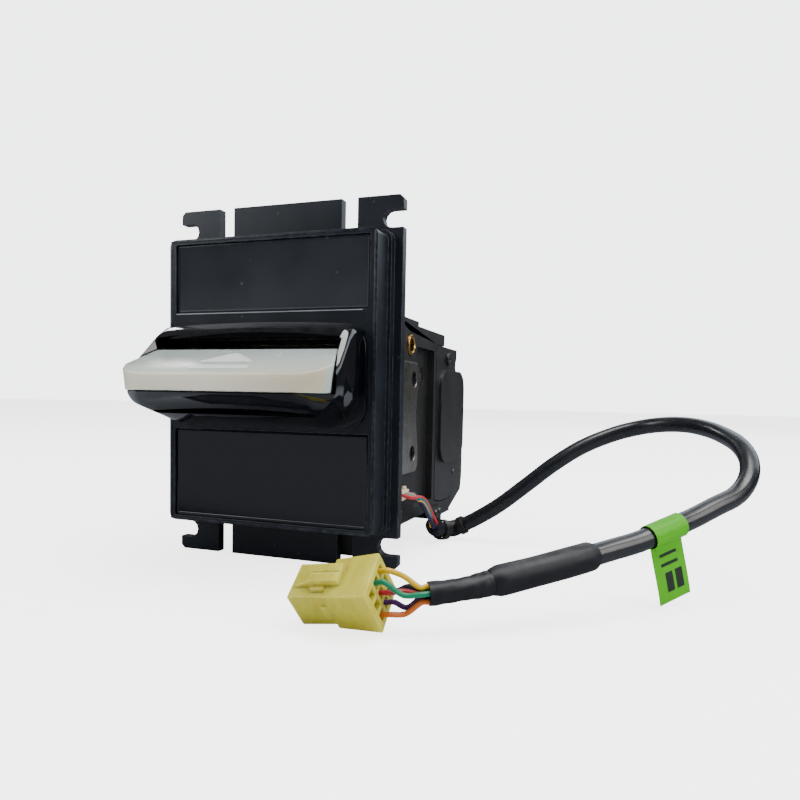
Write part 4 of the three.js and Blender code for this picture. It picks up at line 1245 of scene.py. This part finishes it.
screwPlaces = {
    "sideLow": ((46.0, 17, 19.4), 1.7, "frame"),
    "sideTail": ((46.0, 64.6, 13.6), 1.3, "frame"),
    "coverLow": ((46.0, 97.5, 30), 1.3, "rear_cover"),
    "clipUpper": ((47.6, 62.5, 13.4), 1.5, "frame"),
    "clipLower": ((47.6, 68.5, 13.4), 1.5, "frame"),
    "leftLow": ((-46.0, 17, 19.4), 1.7, "frame"),
    "leftTail": ((-46.0, 64.6, 13.6), 1.3, "frame"),
    "coverLeft": ((-46.0, 97.5, 30), 1.3, "rear_cover"),
}
for label, (place, radius, body) in screwPlaces.items():
    shape = screwMesh(at(*place), (math.copysign(1, place[0]), 0, 0), radius)
    addPiece("screw" + label[0].upper() + label[1:], shape, steelScrew, body=body, smooth=28)
print("chassis done")

coverGrip = {"half": 19, "face": 116, "low": 62, "pitch": 2.6, "count": 5, "deep": 0.5}


# the cover with finger grooves across its rear face
def coverMesh():
    grooves = []
    for step in range(coverGrip["count"]):
        level = coverGrip["low"] + step * coverGrip["pitch"]
        grooves.append(blockMesh((-coverGrip["half"], coverGrip["face"] - coverGrip["deep"], level),
                                 (coverGrip["half"], coverGrip["face"] + 1, level + coverGrip["pitch"] / 2),
                                 0.2))
    return carve(weldedCopy("rear_cover"), grooves)


addPiece("rearCover", coverMesh(), coverShell, body="rear_cover", replaces=["rear_cover"],
         bevel=(0.0004, 3))
for side, sign in (("Right", 1), ("Left", -1)):
    addPiece("coverPin" + side, sideTurned("pin", sign, 32), bodyShell,
             replaces=["cover_pin_" + side.lower()], smooth=25)
copyPiece("noteLid", "note_lid", bodyShell, (0.00025, 2), body="lid")
capRibs = {"first": 20, "pitch": 7.5, "count": 5, "low": (30, 0.7, 100.2), "top": 100.85}


# the cap with raised grip ribs across it
def capMesh():
    half, wide, low = capRibs["low"]
    shapes = [weldedCopy("lid_cap")]
    for i in range(capRibs["count"]):
        y = capRibs["first"] + i * capRibs["pitch"]
        shapes.append(blockMesh((-half, y - wide, low), (half, y + wide, capRibs["top"]), 0.25))
    return joinMeshes(*shapes)


addPiece("lidCap", capMesh(), bodyShell, body="lid", replaces=["lid_cap"],
         bevel=(0.0002, 2))


buttonSetup = {
    "pad": ((-8, 66, 97), (8, 74, 101.1), 0.6, 3),
    "stem": ((-2, 68, 94.6), (2, 72, 97.2), 0.2),
    "grooves": (68, 69.3, 70.7, 72),
    "grooveHalf": 0.3,
}


def buttonMesh():
    half = buttonSetup["grooveHalf"]
    grooves = [blockMesh((-6, y - half, 100.7), (6, y + half, 102)) for y in buttonSetup["grooves"]]
    return joinMeshes(carve(blockMesh(*buttonSetup["pad"]), grooves), blockMesh(*buttonSetup["stem"]))


addPiece("latchButton", buttonMesh(), tiePlastic, body="latch_button",
         replaces=["lid_latch_button"])

# coil under the latch button
latchSpring = {
    "radius": 3.2, "wire": 0.00033, "foot": 90.35, "tall": 6.2, "at": 70,
    "turns": 4.5, "steps": 90, "flat": 0.08,
}
springRun = []
for step in range(latchSpring["steps"] + 1):
    done = step / latchSpring["steps"]
    turned = done * latchSpring["turns"] * math.tau
    rise = min(1, max(0, (done - latchSpring["flat"]) / (1 - 2 * latchSpring["flat"])))
    springRun.append(at(latchSpring["radius"] * math.cos(turned),
                        latchSpring["at"] + latchSpring["radius"] * math.sin(turned),
                        latchSpring["foot"] + rise * latchSpring["tall"]))
coil = addPiece("latchCoil", sweptMesh(springRun, latchSpring["wire"], 10), groundSteel, body="lid",
                replaces=["latch_spring"], smooth=50)
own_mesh(coil)
print("cover and lid done")


def chipMesh(centre, wide, tall, thick):
    x, y, z = centre
    return blockMesh((x - wide / 2, y, z - tall / 2), (x + wide / 2, y + thick, z + tall / 2), 0.15)


def pinRow(centre, wide, tall, pins):
    x, y, z = centre
    legs = []
    for i in range(pins):
        level = z - tall / 2 + tall * (i + 0.5) / pins
        for sign in (-1, 1):
            edge = x + sign * wide / 2
            legs.append(blockMesh((min(edge, edge + sign * 1.1), y + 0.1, level - 0.2),
                                  (max(edge, edge + sign * 1.1), y + 0.7, level + 0.2)))
    return joinMeshes(*legs)


# chips as middle, width, height, thickness and number of pins on each side
boardSetup = {
    "processor": ((0, 65.9, 52), 16, 16, 1.5, 14),
    "memory": ((-24, 65.6, 60), 8, 14, 1.4, 9),
    "driver": ((-24, 65.6, 38), 8, 12, 1.4, 8),
    "logic": ((24, 65.6, 62), 6, 12, 1.4, 8),
}
canSetup = {
    "profile": ((0, 0), (0, 3.4), (0.8, 3.5), (1.3, 3.2), (2.0, 3.5), (7.4, 3.5), (7.8, 3.1), (7.8, 0)),
    "places": ((-36, 72), (-36, 63), (36, 70)),
}
# sockets: middle across, middle height and half width of each
socketSetup = {"places": ((-20, 27, 9), (8, 27, 7), (-6, 75, 11)), "half": 3, "wall": 0.9}
addPiece("boardChips", joinMeshes(*(chipMesh(*chip[:4]) for chip in boardSetup.values())), blackChip,
         replaces=["board_processor"])
addPiece("boardLegs", joinMeshes(*(pinRow(*chip[:3], chip[4]) for chip in boardSetup.values())), groundSteel)
cans = [turnedMesh(canSetup["profile"], at(x, 65.6, z), (0, 1, 0), 28) for x, z in canSetup["places"]]
addPiece("boardCapacitors", joinMeshes(*cans), blackChip, smooth=28)
sockets = []
tall, wall = socketSetup["half"], socketSetup["wall"]
for x, z, half in socketSetup["places"]:
    shell = blockMesh((x - half, 65.6, z - tall), (x + half, 71.5, z + tall), 0.25)
    room = blockMesh((x - half + wall, 66.6, z - tall + wall), (x + half - wall, 72.5, z + tall - wall))
    sockets.append(carve(shell, [room]))
addPiece("boardSockets", joinMeshes(*sockets), creamNylon)


switchSetup = {
    "body": ((20, 65.9, 30), (30, 68.9, 36), 0.2),
    "first": 20.9,
    "pitch": 2.3,
    "levers": ((21.1, 32.7), (23.4, 33.7), (25.7, 32.7), (28.0, 33.7)),
    "lever": 1.1,
}


def switchMesh():
    windows = []
    for i in range(len(switchSetup["levers"])):
        x = switchSetup["first"] + i * switchSetup["pitch"]
        windows.append(blockMesh((x, 68.0, 32.6), (x + 1.4, 70, 35)))
    return carve(blockMesh(*switchSetup["body"]), windows)


addPiece("dipSwitch", switchMesh(), redSwitch, replaces=["dip_switch"])
wide = switchSetup["lever"]
levers = [blockMesh((x, 67.9, z), (x + wide, 69.1, z + wide), 0.1) for x, z in switchSetup["levers"]]
addPiece("dipLevers", joinMeshes(*levers), whitePaint)

keptFinish = {
    "satin_black": tiePlastic, "gloss_black": glossPanel, "body_black": bodyShell, "milky_lens": lensMilk,
    "green_board": boardMask, "black_chip": blackChip, "red_switch": redSwitch, "nickel": nickelStrip,
    "steel": groundSteel, "brass": brassTurned, "rubber": driveRubber, "acetal": acetalGear,
    "cream": creamNylon, "cable_black": jacketSkin, "shrink_black": shrinkSatin, "wires": wireSkins["red"],
    "label_green": labelFilm, "nylon": housingNylon,
}
for entry in frame["record"]["subparts"]:
    node = nodes[entry["node"]]
    kept = tiePlastic if node.name.startswith("shaft_bush") else keptFinish[entry["material_slot"]]
    if not node.material_slots:
        node.data.materials.append(kept)
    for holder in node.material_slots:
        holder.material = kept
print("finishes placed on", len(nodes), "nodes")

studio = {"floorLift": 3.1, "seen": 4.0, "fill": 0.28, "gloss": 0.045}


# pale floor: the camera sees it a little lifted, and gloss sees it subdued, as under a large tent
def makeStage():
    material, tree, shader = newMaterial("paleFloor")
    ray = tree.nodes.new("ShaderNodeLightPath").outputs
    pale, dim = (0.90, 0.90, 0.90, 1), (0.16, 0.17, 0.19, 1)
    link(tree, mixColour(tree, ray["Is Glossy Ray"], pale, dim), shader.inputs["Base Color"])
    setInputs(shader, {"Roughness": 0.9, "Emission Color": (1, 1, 1, 1)})
    lift = mathNode(tree, "MULTIPLY", ray["Is Camera Ray"], studio["floorLift"])
    link(tree, lift, shader.inputs["Emission Strength"])
    bm = bmesh.new()
    bmesh.ops.create_grid(bm, x_segments=1, y_segments=1, size=6)
    mesh = bpy.data.meshes.new("floor")
    bm.to_mesh(mesh)
    bm.free()
    floor = bpy.data.objects.new("floor", mesh)
    bpy.context.scene.collection.objects.link(floor)
    mesh.materials.append(material)


# white all round for the camera, much dimmer as a source, and dimmest in gloss
def makeWorld():
    world = bpy.data.worlds.new("studio")
    bpy.context.scene.world = world
    world.use_nodes = True
    tree = world.node_tree
    ray = tree.nodes.new("ShaderNodeLightPath").outputs
    seen = mathNode(tree, "MULTIPLY", ray["Is Camera Ray"], studio["seen"])
    gloss = mathNode(tree, "MULTIPLY", ray["Is Glossy Ray"], studio["gloss"] - studio["fill"])
    strength = mathNode(tree, "ADD", mathNode(tree, "ADD", seen, gloss), studio["fill"])
    sky = tree.nodes["Background"]
    sky.inputs["Color"].default_value = (0.95, 0.97, 1.0, 1)
    link(tree, strength, sky.inputs["Strength"])


def areaLight(name, place, target, size, power, colour=(1, 1, 1)):
    data = bpy.data.lights.new(name, "AREA")
    data.shape = "RECTANGLE"
    data.size, data.size_y = size
    data.energy = power
    data.color = colour
    light = bpy.data.objects.new(name, data)
    light.location = place
    aim = Vector(target) - Vector(place)
    light.rotation_euler = aim.to_track_quat("-Z", "Y").to_euler()
    light.visible_camera = False
    bpy.context.scene.collection.objects.link(light)


makeStage()
makeWorld()
areaLight("topSoft", (0.38, -0.1, 1.3), (0, 0, 0), (0.9, 1.2), 24)
areaLight("leftSoft", (-0.9, -0.75, 0.75), (0, 0, 0.06), (0.6, 0.8), 6.5, (0.94, 0.97, 1))
areaLight("lensGlare", (-0.86, 0.62, 0.76), (-0.04, -0.07, 0.08), (0.16, 0.24), 0.9)
areaLight("rightSoft", (1.1, -0.25, 0.55), (0, 0.02, 0.06), (0.5, 0.7), 5, (1, 0.97, 0.93))
areaLight("backSoft", (0.6, 1.35, 0.95), (0.03, 0, 0.05), (2.2, 1.1), 11, (0.82, 0.92, 1))
print("stage and lights set")
